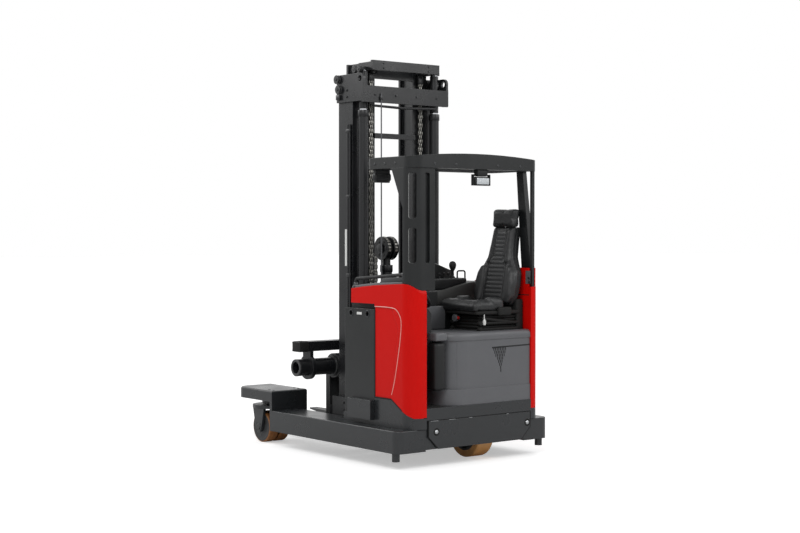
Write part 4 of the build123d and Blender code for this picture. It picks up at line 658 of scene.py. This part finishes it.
# bright zinc strips along the top edge of the plate: painted highlights, standing for the glints along that
# edge
for y, wide in ((0.4, 0.07), (0.235, 0.06), (0.06, 0.03), (-0.3, 0.02)):
    addBlock((rear - 0.0008, y - wide / 2, panelHigh.z - 0.002),
             (rear + 0.006, y + wide / 2, panelHigh.z + 0.0005), 0.0006, 1)
keep("rearPlateGlints", "zincPlate")
deckTop = hoodLow.z
for rib in range(4):
    addBlock((rear + 0.01 + rib * 0.011, hoodHigh.y + 0.005, deckTop - 0.001),
             (rear + 0.015 + rib * 0.011, coverLow.y - 0.02, deckTop + 0.004), 0.0015, 1)
matLow = (rear + 0.062, hoodHigh.y + 0.007, deckTop)
matHigh = (hoodHigh.x - 0.006, coverLow.y - 0.02, deckTop + rearTrim["matTop"])
addBlock(matLow, matHigh, 0.003, 2)
for along in range(rearTrim["studs"][0]):
    for across in range(rearTrim["studs"][1]):
        addRod("Z", (matLow[0] + 0.03 + along * 0.04, matLow[1] + 0.022 + across * 0.038,
                     matHigh[2] + 0.001), 0.003, 0.011, 0.008, sides=12)
keep("footwellMat", "blackRubber")
pedals = dict(rows=((-1.06, 0.075), (-0.95, 0.055)), depth=0.09, y=0.335)
for x, width in pedals["rows"]:
    plate = addBlock((x - width / 2, pedals["y"], deckTop + 0.045),
                     (x + width / 2, pedals["y"] + pedals["depth"], deckTop + 0.055), 0.003, 2)
    bmesh.ops.rotate(bench, cent=(x, pedals["y"], deckTop + 0.05),
                     matrix=Matrix.Rotation(math.radians(24), 3, "X"), verts=plate)
    addRod("Z", (x, pedals["y"] + 0.07, deckTop + 0.035), 0.06, 0.008, sides=12)
keep("footPedals", "blackRubber")

# grey hood: slots of the vent, a dark strip of painted shade along the lip beside it, a rounded top rim and
# the column in the footwell
hoodTrim = dict(
    ventTop=0.826, ventTall=0.183, ventLeft=-0.159, ventRight=-0.3, ventPoint=-0.242, rows=8, slot=0.0075,
    step=0.0165, rim=0.05, rimOut=0.005, corner=0.165, lipEnd=(-0.529, 0.842))
hoodRear = hoodLow.x + 0.006
for row in range(hoodTrim["rows"]):
    share = (row + 0.35) / hoodTrim["rows"]
    left = hoodTrim["ventLeft"] + (hoodTrim["ventPoint"] - hoodTrim["ventLeft"]) * share
    right = hoodTrim["ventRight"] + (hoodTrim["ventPoint"] - hoodTrim["ventRight"]) * share
    z = hoodTrim["ventTop"] - share * hoodTrim["ventTall"]
    count = max(1, int((left - right) / hoodTrim["step"]))
    for column in range(count):
        y = (left + right) / 2 + (column - (count - 1) / 2) * hoodTrim["step"]
        addBlock((hoodRear - 0.0012, y - hoodTrim["slot"] / 2, z - 0.0105),
                 (hoodRear + 0.004, y + hoodTrim["slot"] / 2, z + 0.0105))
# dark strip along the lip: painted shade, standing for the dark groove and the soft shadow under the lip,
# made thicker for that shadow
lipY, lipZ = hoodTrim["lipEnd"]
lipY0, lipZ0 = hoodTrim["ventLeft"] + 0.004, hoodTrim["ventTop"] + 0.01
addSlab("X", ((lipY0, lipZ0), (lipY, lipZ), (lipY, lipZ - 0.009), (lipY0, lipZ0 - 0.011)),
        hoodRear - 0.0012, hoodRear + 0.004)
keep("hoodVentAndLipShade", "blackMoulding")
addBlock((hoodRear - hoodTrim["rimOut"], hoodLow.y - 0.052, hoodHigh.z - hoodTrim["rim"]),
         (hoodHigh.x - 0.003, hoodHigh.y - 0.025, hoodHigh.z + 0.012))
corner = [e for e in bench.edges if all(v.co.x < hoodRear and v.co.y > 0 for v in e.verts)]
roundEdges(corner, hoodTrim["corner"], 10)
for up, size, steps in ((1, 0.034, 5), (-1, 0.004, 2)):
    flat = [f for f in bench.faces if f.normal.z * up > 0.9]
    roundEdges({e for f in flat for e in f.edges}, size, steps)
addBlock((rear + 0.014, hoodHigh.y - 0.015, hoodHigh.z - 0.04),
         (rear + 0.16, hoodHigh.y + 0.09, hoodHigh.z + 0.016), 0.012, 3)
keep("hoodTopRim", "greyMoulding")
addBlock((rear + 0.03, hoodHigh.y - 0.02, deckTop + 0.115),
         (rear + 0.15, hoodHigh.y + 0.085, hoodHigh.z - 0.05), 0.03, 4)
keep("footwellColumn", "blackMoulding")

# red cover: pale bead round its pressed panel as a painted highlight along the panel's edge, dark seams,
# grey cap along the arm with the black box on it
cover = dict(
    beadHalf=0.0035, seam=0.01,
    bead=((-0.826, 1.141), (-1.036, 1.145), (-1.097, 1.116), (-1.139, 1.054), (-1.124, 0.915),
          (-1.097, 0.785), (-1.057, 0.604), (-1.022, 0.516)),
    cap=((-0.552, 1.258), (-0.552, 1.286), (-0.67, 1.299), (-0.823, 1.312), (-1.034, 1.322),
         (-1.128, 1.326), (-1.128, 1.3), (-1.034, 1.296), (-0.823, 1.285), (-0.67, 1.27)),
)
faceY = coverHigh.y
# the bead's pale colour is a painted highlight: it stands for the lit edge of the pressed panel
addTube([(x, faceY - 0.001, z) for x, z in cover["bead"]], cover["beadHalf"], smooth=True)
keep("coverHighlightBead", "paleBead")
seamLine = ((-0.821, 0.4825), (-1.02, 0.4825), (-1.14, 0.412))
for (x0, z0), (x1, z1) in zip(seamLine, seamLine[1:]):
    addSlab("Y", ((x0, z0 + cover["seam"] / 2), (x1, z1 + cover["seam"] / 2), (x1, z1 - cover["seam"] / 2),
                  (x0, z0 - cover["seam"] / 2)), faceY - 0.004, faceY + 0.0012)
addBlock((rear - 0.0006, coverLow.y - 0.002, 0.357), (rear + 0.004, faceY - 0.11, 0.363))
addBlock((wallLow.x + 0.02, wallHigh.y - 0.002, 1.205), (wallLow.x + 0.4, wallHigh.y + 0.0012, 1.211))
keep("coverSeams", "blackRubber")
addSlab("Y", cover["cap"], faceY - 0.062, faceY - 0.01, 0.005, 2)
keep("armCap", "greyMoulding")
addSlab("Y", ((-0.84, 1.305), (-0.885, 1.352), (-1.128, 1.36), (-1.128, 1.312)), faceY - 0.085,
        faceY - 0.022, 0.008, 2)
keep("armBox", "powderCoat")
addBlock((wallLow.x + 0.008, wallHigh.y - 0.001, 1.29),
         (wallLow.x + 0.06, wallHigh.y + 0.0015, 1.39), 0.0007, 1)
keep("wallPlate", "greyMoulding")
addBlock((wallLow.x + 0.002, wallHigh.y - 0.001, 1.292),
         (wallLow.x + 0.022, wallHigh.y + 0.01, 1.312), 0.004, 2)
addRod("Y", (wallLow.x + 0.012, wallHigh.y + 0.012, 1.335), 0.012, 0.009, sides=20, edge=0.002)
keep("wallLatch", "blackMoulding")

# battery: blank plate between the lifting holes, rims round them, panels on the lid and the screen before it
low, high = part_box("battery")
middle = (low.x + high.x) / 2
addBlock((middle - 0.03, high.y - 0.001, high.z - 0.046),
         (middle + 0.03, high.y + 0.0015, high.z - 0.027), 0.001, 1)
keep("batteryPlate", "whiteVinyl")
for x in (middle - 0.1, middle + 0.1):
    for side in (1, -1):
        addTurned("Y", (x, side * high.y, high.z - 0.036),
                  [(0.019, -0.006 * side), (0.019, 0.003), (0.025, 0.003), (0.026, 0.0), (0.026, -0.002)],
                  out=side)
keep("liftingHoleRims", "powderCoat")
low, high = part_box("battery_lid")
lidTrim = dict(notchX=low.x + 0.13, notchY=0.02)
addBlock((low.x + 0.02, lidTrim["notchY"] + 0.055, high.z - 0.002),
         (high.x - 0.02, high.y - 0.02, high.z + 0.014), 0.01, 3)
keep("lidTopPanels", "blackMoulding")
addSlab("X", ((low.y + 0.004, low.z + 0.01), (low.y + 0.004, 1.3), (-0.4, 1.29), (-0.15, high.z - 0.002),
              (lidTrim["notchY"] - 0.004, high.z - 0.002), (lidTrim["notchY"] - 0.004, low.z + 0.01)),
        lidTrim["notchX"] - 0.004, high.x - 0.015, 0.006, 2)
keep("lidSidePanel", "charcoalMoulding")
addBlock((low.x - 0.014, -0.045, hoodHigh.z + 0.012), (low.x - 0.0005, 0.335, low.z + 0.006), 0.005, 2)
keep("batteryScreen", "greyMoulding")
print("body trimmed")

# dashboard: display, switches, steering wheel with its knob
deskLow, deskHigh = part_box("console")
low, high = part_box("steering_wheel")
dash = dict(
    back=deskHigh.y - 0.01, front=deskHigh.y - 0.082, slope=0.12, lift=0.0579, housingX=(-1.1, -0.86),
    screenX=(-1.085, -0.955), switches=4, switchX=-0.94, switchStep=0.02)
steer = dict(rim=0.108, tube=0.012, spokeDeg=(0, 120, 240), knobAt=(0.088, 0.05, 0.012), tiltDeg=45)
left, right = dash["housingX"]
addBlock((left, dash["front"], deskHigh.z - 0.01), (right, dash["back"], deskHigh.z + 0.01), 0.006, 3)
keep("dashHousing", "blackMoulding")
left, right = dash["screenX"]
addBlock((left, dash["front"] + 0.012, deskHigh.z + 0.006),
         (right, dash["back"] - 0.012, deskHigh.z + 0.0125), 0.002, 2)
keep("dashDisplay", "smokedLens")
for switch in range(dash["switches"]):
    addRod("Z", (dash["switchX"] + switch * dash["switchStep"], dash["front"] + 0.035, deskHigh.z + 0.012),
           0.008, 0.007, 0.006, sides=16)
keep("dashSwitches", "greyMoulding")
hub = Vector(((low.x + high.x) / 2, deskLow.y + dash["slope"] / 2 - dash["lift"],
              deskHigh.z - dash["slope"] / 2 + dash["lift"]))
rimForm = [(steer["rim"] + steer["tube"] * math.cos(a * math.pi / 6),
            steer["tube"] * math.sin(a * math.pi / 6)) for a in range(13)]
hubForm = [(0.0, 0.01), (0.024, 0.008), (0.034, 0.0), (0.034, -0.01), (0.022, -0.016), (0.022, -0.052)]
knobForm = [(0.008, 0.0), (0.008, 0.012), (0.018, 0.02), (0.021, 0.032), (0.014, 0.042), (0.0, 0.044)]
addTurned("Z", (0, 0, 0), rimForm, sides=48)
for turn in steer["spokeDeg"]:
    arm = addBlock((0.02, -0.014, -0.006), (0.106, 0.014, 0.004), 0.004, 2)
    bmesh.ops.rotate(bench, cent=(0, 0, 0), matrix=Matrix.Rotation(math.radians(turn), 3, "Z"), verts=arm)
addTurned("Z", (0, 0, 0), hubForm)
addTurned("Z", steer["knobAt"], knobForm, sides=24)
tilt = Matrix.Translation(hub) @ Matrix.Rotation(math.radians(steer["tiltDeg"]), 4, "X")
bmesh.ops.transform(bench, matrix=tilt, verts=bench.verts[:])
keep("steeringWheel", "blackMoulding", hides=("steering_wheel",))

# armrest: tapered pad on the lid, joystick, finger levers, wire handle and the sloping display behind it
low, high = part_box("armrest")
armrest = dict(padTop=1.325, padRear=1.29, joystickY=-0.312, levers=3, wire=0.0065, padWide=0.112)
padX = low.x + armrest["padWide"]
stickX = low.x + 0.055
addSlab("X", ((low.y, armrest["padRear"]), (low.y, armrest["padTop"]),
              (high.y - 0.01, armrest["padTop"] - 0.006), (high.y, armrest["padTop"] - 0.03),
              (high.y - 0.01, low.z), (-0.16, low.z)), low.x, padX - 0.002, 0.011, 4)
addSlab("X", ((-0.377, low.z), (-0.377, 1.366), (-0.372, 1.372), (-0.189, 1.438), (-0.15, 1.449),
              (-0.147, 1.44), (-0.147, low.z)), padX, high.x, 0.007, 3)
addTurned("Z", (stickX, armrest["joystickY"], armrest["padTop"] - 0.004),
          [(0.026, 0.0), (0.022, 0.008), (0.01, 0.022), (0.009, 0.05), (0.014, 0.062), (0.024, 0.08),
           (0.0285, 0.1), (0.027, 0.116), (0.017, 0.13), (0.0, 0.135)], sides=28)
for lever in range(armrest["levers"]):
    y = -0.27 + lever * 0.045
    addTurned("Z", (stickX, y, armrest["padTop"] - 0.004),
              [(0.012, 0.0), (0.005, 0.006), (0.004, 0.024), (0.01, 0.03), (0.011, 0.044), (0.0, 0.048)],
              sides=16)
wireX = low.x + 0.016
addBent(((wireX, -0.326, 1.3), (wireX, -0.326, 1.38), (wireX, -0.404, 1.38), (wireX, -0.404, 1.3)),
        armrest["wire"], 0.016)
keep("armrestConsole", "blackMoulding", hides=("armrest",))
addSlab("X", ((-0.355, 1.378), (-0.355, 1.3815), (-0.2, 1.4375), (-0.2, 1.434)), padX + 0.008,
        high.x - 0.008, 0.0008, 1)
keep("armrestDisplay", "smokedLens")
print("controls made")

# lamps: front box with its side bracket, rear work lamp with a lens
low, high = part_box("lamps")
lampTrim = dict(wideFront=0.15, fins=5, finStep=0.028)
frontX, frontY, backY = high.x, high.y - lampTrim["wideFront"], low.y
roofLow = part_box("roof")[0].z
addBlock((frontX - 0.058, frontY + 0.002, 2.052), (frontX - 0.002, high.y - 0.002, 2.11), 0.016, 4)
addBlock((frontX - 0.05, frontY + 0.01, 2.104), (frontX - 0.012, high.y - 0.01, roofLow + 0.002), 0.006, 2)
addBlock((frontX - 0.048, frontY + 0.01, 2.041), (frontX - 0.01, high.y - 0.01, 2.058), 0.006, 2)
addBlock((rear + 0.014, backY + 0.04, 2.085), (rear + 0.06, backY + 0.14, roofLow + 0.002), 0.008, 2)
for y in (backY + 0.008, backY + 0.164):
    addBlock((rear + 0.022, y, 2.018), (rear + 0.052, y + 0.008, 2.1), 0.003, 2)
addBlock((rear + 0.012, backY + 0.018, 2.018), (rear + 0.062, backY + 0.162, 2.082), 0.014, 4)
for fin in range(lampTrim["fins"]):
    finY = backY + 0.03 + fin * lampTrim["finStep"]
    addBlock((rear + 0.058, finY, 2.028),
             (rear + 0.069, backY + 0.036 + fin * lampTrim["finStep"], 2.072), 0.001, 1)
keep("lampHousings", "blackMoulding", hides=("lamps",))
addBlock((rear + 0.0105, backY + 0.03, 2.026), (rear + 0.02, backY + 0.15, 2.074), 0.006, 3)
addBlock((frontX - 0.012, frontY + 0.015, 2.062), (frontX, high.y - 0.015, 2.1), 0.005, 3)
keep("lampLenses", "clearLens")

# wheels: hub bolts, tyre flanks, axle caps, and the screws of the wheel hoods
wheelTrim = dict(
    boltCircle=0.07, bolt=0.00525, capCircle=0.034, capBolt=0.006, capOut=0.124, driveCircle=0.08,
    driveBolt=0.011)
flankForm = [(0.094, -0.003), (0.094, 0.001), (0.098, 0.002), (0.113, 0.002), (0.117, -0.001),
             (0.116, -0.003)]
for end in ("left", "right"):
    low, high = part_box(f"load_hub_{end}")
    middle = (low + high) / 2
    for face, out in ((high.y, 1), (low.y, -1)):
        for x, z in ringSpots(middle, wheelTrim["boltCircle"], 6, 30):
            addBolt("Y", (x, face, z), wheelTrim["bolt"], out)
    keep(f"loadWheelBolts_{end}", "powderCoat", f"load_wheel_{end}")
    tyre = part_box(f"load_tyres_{end}")
    for face, out in ((tyre[1].y, 1), (tyre[0].y, -1)):
        addTurned("Y", (middle.x, face, middle.z), flankForm, sides=48, out=out)
    keep(f"loadWheelSides_{end}", "castIron", f"load_wheel_{end}")
    for out in (1, -1):
        face = middle.y + out * wheelTrim["capOut"]
        addTurned("Y", (middle.x, face, middle.z),
                  [(0.0, 0.008), (0.022, 0.008), (0.026, 0.004), (0.028, 0.0)], out=out)
        for x, z in ringSpots(middle, wheelTrim["capCircle"], 4, 45):
            addBolt("Y", (x, face, z), wheelTrim["capBolt"], out)
    keep(f"loadAxleCaps_{end}", "powderCoat", f"load_yoke_{end}")
    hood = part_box(f"wheel_hood_{end}")
    for x in (hood[0].x + 0.05, hood[0].x + 0.11):
        for y in (hood[0].y + 0.05, hood[1].y - 0.05):
            addTurned("Z", (x, y, hood[1].z),
                      [(0.0, 0.003), (0.009, 0.003), (0.012, 0.0005), (0.012, -0.003)], sides=20)
    keep(f"hoodScrews_{end}", "powderCoat")
low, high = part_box("drive_hub")
middle = (low + high) / 2
addTurned("Y", (middle.x, high.y - 0.028, middle.z),
          [(0.0, 0.024), (0.044, 0.024), (0.052, 0.016), (0.056, 0.0)])
for x, z in ringSpots(middle, wheelTrim["driveCircle"], 8):
    addBolt("Y", (x, high.y - 0.027, z), wheelTrim["driveBolt"], 1)
keep("driveWheelBolts", "zincPlate", "drive_wheel")
print("wheels bolted")

# mast: head rollers, bolts, pipes, cable, collars, chain anchors and the sheaves of the free lift
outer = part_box("outer_rails")
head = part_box("outer_head")
mastTrim = dict(
    rollerIn=0.036, rollerDrop=0.055, edgeIn=0.05, headBolt=0.011, faceBolt=0.01,
    faceBoltY=(-0.3, -0.1, 0.1, 0.3), legBoltZ=(0.2, 0.26, 0.32, 0.38), plateZ=(1.42, 1.7), pipe=0.009,
    pipeMiddle=1.45, pipeLong=2.1, clampZ=(0.75, 1.35, 1.95, 2.45), clampHalf=0.012, hose=0.01,
    hoseBend=0.018, cable=0.005, cableY=0.25, cableMiddle=1.98, cableLong=1.5, headRod=0.034,
    headRodLow=2.615)
railEdges = (outer[0].x + mastTrim["edgeIn"], outer[1].x - mastTrim["edgeIn"])
rollerForm = [(0.0, -0.02), (0.034, -0.02), (0.036, -0.016), (0.036, 0.016), (0.034, 0.02), (0.0, 0.02)]
rollerY = outer[1].y - mastTrim["rollerIn"]
for y in (rollerY, -rollerY):
    for x in railEdges:
        addTurned("Y", (x, y, outer[1].z - mastTrim["rollerDrop"]), rollerForm, sides=28)
keep("headRollers", "zincPlate", "reach_mast")

for side in (1, -1):
    for z in (head[0].z + 0.05, head[0].z + 0.1):
        for x in railEdges:
            addBolt("Y", (x, side * head[1].y, z), mastTrim["headBolt"], side)
for y in mastTrim["faceBoltY"]:
    addBolt("X", (head[0].x, y, head[0].z + 0.06), mastTrim["faceBolt"], -1)
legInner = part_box("leg_left")[0].y
for side in (1, -1):
    for z in mastTrim["legBoltZ"]:
        addBolt("Y", (outer[0].x + 0.03, side * (legInner - 0.012), z), mastTrim["headBolt"], side)
addBlock((head[0].x + 0.012, -head[1].y - 0.018, head[0].z + 0.004),
         (head[0].x + 0.085, -head[1].y + 0.001, head[0].z + 0.14), 0.01, 3)
pulleyForm = [(0.03, 0.0), (0.034, 0.003), (0.027, 0.008), (0.027, 0.016), (0.034, 0.021), (0.03, 0.024),
              (0.012, 0.024), (0.01, 0.03), (0.0, 0.03)]
for x, z in ((outer[1].x - 0.022, head[1].z - 0.032), (outer[1].x - 0.04, head[1].z - 0.11)):
    addTurned("Y", (x, head[1].y, z), pulleyForm, sides=28)
addBlock((outer[1].x - 0.06, head[1].y - 0.001, head[1].z - 0.19),
         (outer[1].x - 0.012, head[1].y + 0.02, head[1].z - 0.15), 0.005, 2)
keep("mastBolts", "mastPaint", "reach_mast")

plateLow, plateHigh = mastTrim["plateZ"]
addBlock((outer[0].x + 0.062, outer[1].y - 0.001, plateLow),
         (outer[0].x + 0.1, outer[1].y + 0.0015, plateHigh), 0.0007, 1)
keep("railPlate", "whiteVinyl", "reach_mast")

for x in (outer[0].x + 0.02, outer[0].x + 0.044):
    addRod("Z", (x, outer[1].y + 0.012, mastTrim["pipeMiddle"]), mastTrim["pipeLong"], mastTrim["pipe"],
           sides=14)
for z in mastTrim["clampZ"]:
    addBlock((outer[0].x + 0.006, outer[1].y - 0.001, z - mastTrim["clampHalf"]),
             (outer[0].x + 0.058, outer[1].y + 0.024, z + mastTrim["clampHalf"]), 0.003, 2)
# y, and the height above the head's underside
hoseLine = ((0.34, 0.03), (0.31, -0.022), (0.02, -0.03), (-0.3, -0.018), (-0.34, 0.03))
addBent([(head[0].x + 0.02, y, head[0].z + rise) for y, rise in hoseLine], mastTrim["hose"],
        mastTrim["hoseBend"])
addBlock((head[0].x - 0.014, 0.238, head[0].z + 0.02),
         (head[0].x + 0.001, 0.262, head[0].z + 0.05), 0.003, 2)
keep("mastPipes", "mastPaint", "reach_mast")

addRod("Z", (head[0].x - 0.008, mastTrim["cableY"], mastTrim["cableMiddle"]), mastTrim["cableLong"],
       mastTrim["cable"], sides=10)
keep("mastCable", "greyMoulding", "reach_mast")

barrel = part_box("lift_barrels")
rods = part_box("lift_rods")
rodX, rodY = (rods[0].x + rods[1].x) / 2, rods[1].y - 0.03
for y in (rodY, -rodY):
    for z in (barrel[1].z - 0.02, barrel[0].z + 0.03):
        addRod("Z", (rodX, y, z), 0.05, 0.043, sides=32, edge=0.003)
keep("cylinderCollars", "mastPaint", "reach_mast")

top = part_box("middle_head")
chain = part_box("lift_chains")
anchorForm = [(0.01, -0.022), (0.04, -0.022), (0.044, -0.02), (0.036, -0.014), (0.036, 0.014),
              (0.044, 0.02), (0.04, 0.022), (0.01, 0.022)]
for y in (chain[1].y - 0.018, chain[0].y + 0.018):
    addBlock((chain[0].x - 0.006, y - 0.024, chain[1].z - 0.07),
             (chain[1].x + 0.006, y + 0.024, chain[1].z - 0.012), 0.004, 2)
    wheelAt = (chain[0].x - 0.02, y, chain[1].z + 0.025)
    addTurned("Y", wheelAt, anchorForm, sides=32)
    addRod("Y", wheelAt, 0.056, 0.012, sides=16)
# two small pulleys beside the head
for x, radius in ((top[1].x - 0.035, 0.026), (top[1].x - 0.095, 0.022)):
    pulleyForm = [(0.008, 0.0), (radius, 0.0), (radius + 0.004, 0.003), (radius - 0.003, 0.008),
                  (radius - 0.003, 0.014), (radius + 0.004, 0.019), (radius, 0.022), (0.008, 0.022)]
    addTurned("Y", (x, 0.392, head[1].z + 0.032), pulleyForm, sides=28)
    addRod("Y", (x, 0.39, head[1].z + 0.032), 0.054, 0.009, sides=16)
for y in (0.22, -0.22):
    for z in (top[1].z - 0.055, top[1].z - 0.02):
        addBolt("X", (top[0].x, y, z), 0.008, -1)
sleeveForm = [(0.0305, 0.0), (mastTrim["headRod"], 0.004), (mastTrim["headRod"], 0.285), (0.0305, 0.288)]
for y in (rodY, -rodY):
    addTurned("Z", (rodX, y, mastTrim["headRodLow"]), sleeveForm, sides=32)
keep("chainAnchors", "mastPaint", "middle_mast")

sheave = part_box("free_rod")
sheaveTrim = dict(
    axleDrop=0.085, rimY=(0.016, 0.05, -0.016, -0.05), capY=0.062, pinCircle=0.058, pins=6, links=13,
    linkDeg=17, firstDeg=102)
axle = Vector(((sheave[0].x + sheave[1].x) / 2, 0, sheave[1].z - sheaveTrim["axleDrop"]))
rimForm = [(0.022, -0.003), (0.09, -0.003), (0.092, 0.0), (0.09, 0.003), (0.022, 0.003)]
for y in sheaveTrim["rimY"]:
    addTurned("Y", (axle.x, y, axle.z), rimForm, sides=40)
for y in (sheaveTrim["capY"], -sheaveTrim["capY"]):
    addRod("Y", (axle.x, y, axle.z), 0.012, 0.036, sides=28, edge=0.002)
for x, z in ringSpots(axle, sheaveTrim["pinCircle"], sheaveTrim["pins"]):
    for side in (1, -1):
        addRod("Y", (x, side * 0.054, z), 0.006, 0.012, sides=14)
keep("sheaveRims", "mastPaint", "free_lift")
for turn in range(sheaveTrim["links"]):
    lean = Matrix.Rotation(math.radians(sheaveTrim["linkDeg"] * turn - sheaveTrim["firstDeg"]), 3, "Y")
    for y in (0.033, -0.033):
        link = addBlock((axle.x - 0.0085, y - 0.011, axle.z + 0.08),
                        (axle.x + 0.0085, y + 0.011, axle.z + 0.093), 0.003, 1)
        bmesh.ops.rotate(bench, cent=axle, matrix=lean, verts=link)
keep("sheaveChains", "oiledSteel", "free_lift")
addRod("Z", (axle.x, 0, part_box("free_barrel")[1].z - 0.025), 0.055, 0.05, sides=32, edge=0.004)
addBlock((axle.x - 0.03, 0.035, 0.3), (axle.x + 0.03, 0.07, 0.36), 0.006, 2)
keep("freeLiftCollar", "mastPaint", "inner_mast")
print("mast dressed")

# carriage: tube end rims, rubber buffers on the beam, bolts, and collars beside the forks
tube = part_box("carriage_tube")
tubeAxis = (tube[0] + tube[1]) / 2
carriageTrim = dict(
    faceX=-0.027, faceBolt=0.011, faceBoltY=0.12, faceBoltZ=(0.28, 0.32, 0.86, 0.92), plateBolt=0.009,
    plateY=(0.575, -0.575, 0.161, -0.161), beamEnd=0.692, bufferLong=0.095, bufferHalf=0.053,
    bufferZ=(0.757, 0.838))
tubeEndForm = [(0.046, -0.01), (0.046, 0.002), (0.05, 0.004), (0.062, 0.004), (0.066, 0.001),
               (0.066, -0.012)]
for side in (1, -1):
    addTurned("Y", (tubeAxis.x, side * tube[1].y, tubeAxis.z), tubeEndForm, sides=48, out=side)
keep("tubeEndRims", "forkPaint", "carriage")
for side in (1, -1):
    ends = sorted((side * (carriageTrim["beamEnd"] - carriageTrim["bufferLong"]),
                   side * carriageTrim["beamEnd"]))
    addBlock((tubeAxis.x - carriageTrim["bufferHalf"], ends[0], carriageTrim["bufferZ"][0]),
             (tubeAxis.x + carriageTrim["bufferHalf"], ends[1], carriageTrim["bufferZ"][1]), 0.012, 3)
keep("beamBuffers", "blackRubber", "carriage")
for y in (carriageTrim["faceBoltY"], -carriageTrim["faceBoltY"]):
    for z in carriageTrim["faceBoltZ"]:
        addBolt("X", (carriageTrim["faceX"], y, z), carriageTrim["faceBolt"], 1)
for y in carriageTrim["plateY"]:
    for z in (tubeAxis.z - 0.08, tubeAxis.z + 0.1):
        addBolt("X", (tubeAxis.x + 0.05, y, z), carriageTrim["plateBolt"], 1)
keep("carriageBolts", "zincPlate", "carriage")
collarForm = [(0.0655, -0.008), (0.0655, 0.008), (0.078, 0.008), (0.08, 0.006), (0.08, -0.006),
              (0.078, -0.008), (0.0655, -0.008)]
for end in ("left", "right"):
    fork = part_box(f"fork_{end}")
    for y in (fork[0].y - 0.01, fork[1].y + 0.01):
        addTurned("Y", (tubeAxis.x, y, tubeAxis.z), collarForm, sides=40)
keep("forkCollars", "forkPaint", "carriage")
print("carriage dressed")

# guard and rail: roof screws and the feet of the handrail
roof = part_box("roof")
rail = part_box("handrail")
guardTrim = dict(sideScrewX=(0.2, 0.32, 0.44), rearScrewY=(-0.42, -0.2, 0.2, 0.4), railRadius=0.013)
screwForm = [(0.0, 0.004), (0.008, 0.004), (0.011, 0.001), (0.011, -0.003)]
for along in guardTrim["sideScrewX"]:
    for side in (1, -1):
        addTurned("Y", (roof[0].x + along, side * roof[1].y, roof[0].z + 0.035), screwForm, sides=20,
                  out=side)
for y in guardTrim["rearScrewY"]:
    addTurned("X", (roof[0].x, y, roof[0].z + 0.03), screwForm, sides=20, out=-1)
keep("roofScrews", "powderCoat")
railY = (rail[0].y + rail[1].y) / 2
addTurned("Z", (rail[1].x - guardTrim["railRadius"], railY, rail[0].z),
          [(0.013, 0.04), (0.016, 0.036), (0.018, 0.018), (0.026, 0.012), (0.028, 0.0)], sides=32)
addTurned("X", (rail[0].x, railY, rail[1].z - guardTrim["railRadius"]),
          [(0.013, 0.02), (0.018, 0.016), (0.02, 0.0)], sides=32)
keep("railRosettes", "powderCoat")
bench.free()
print("guard dressed")
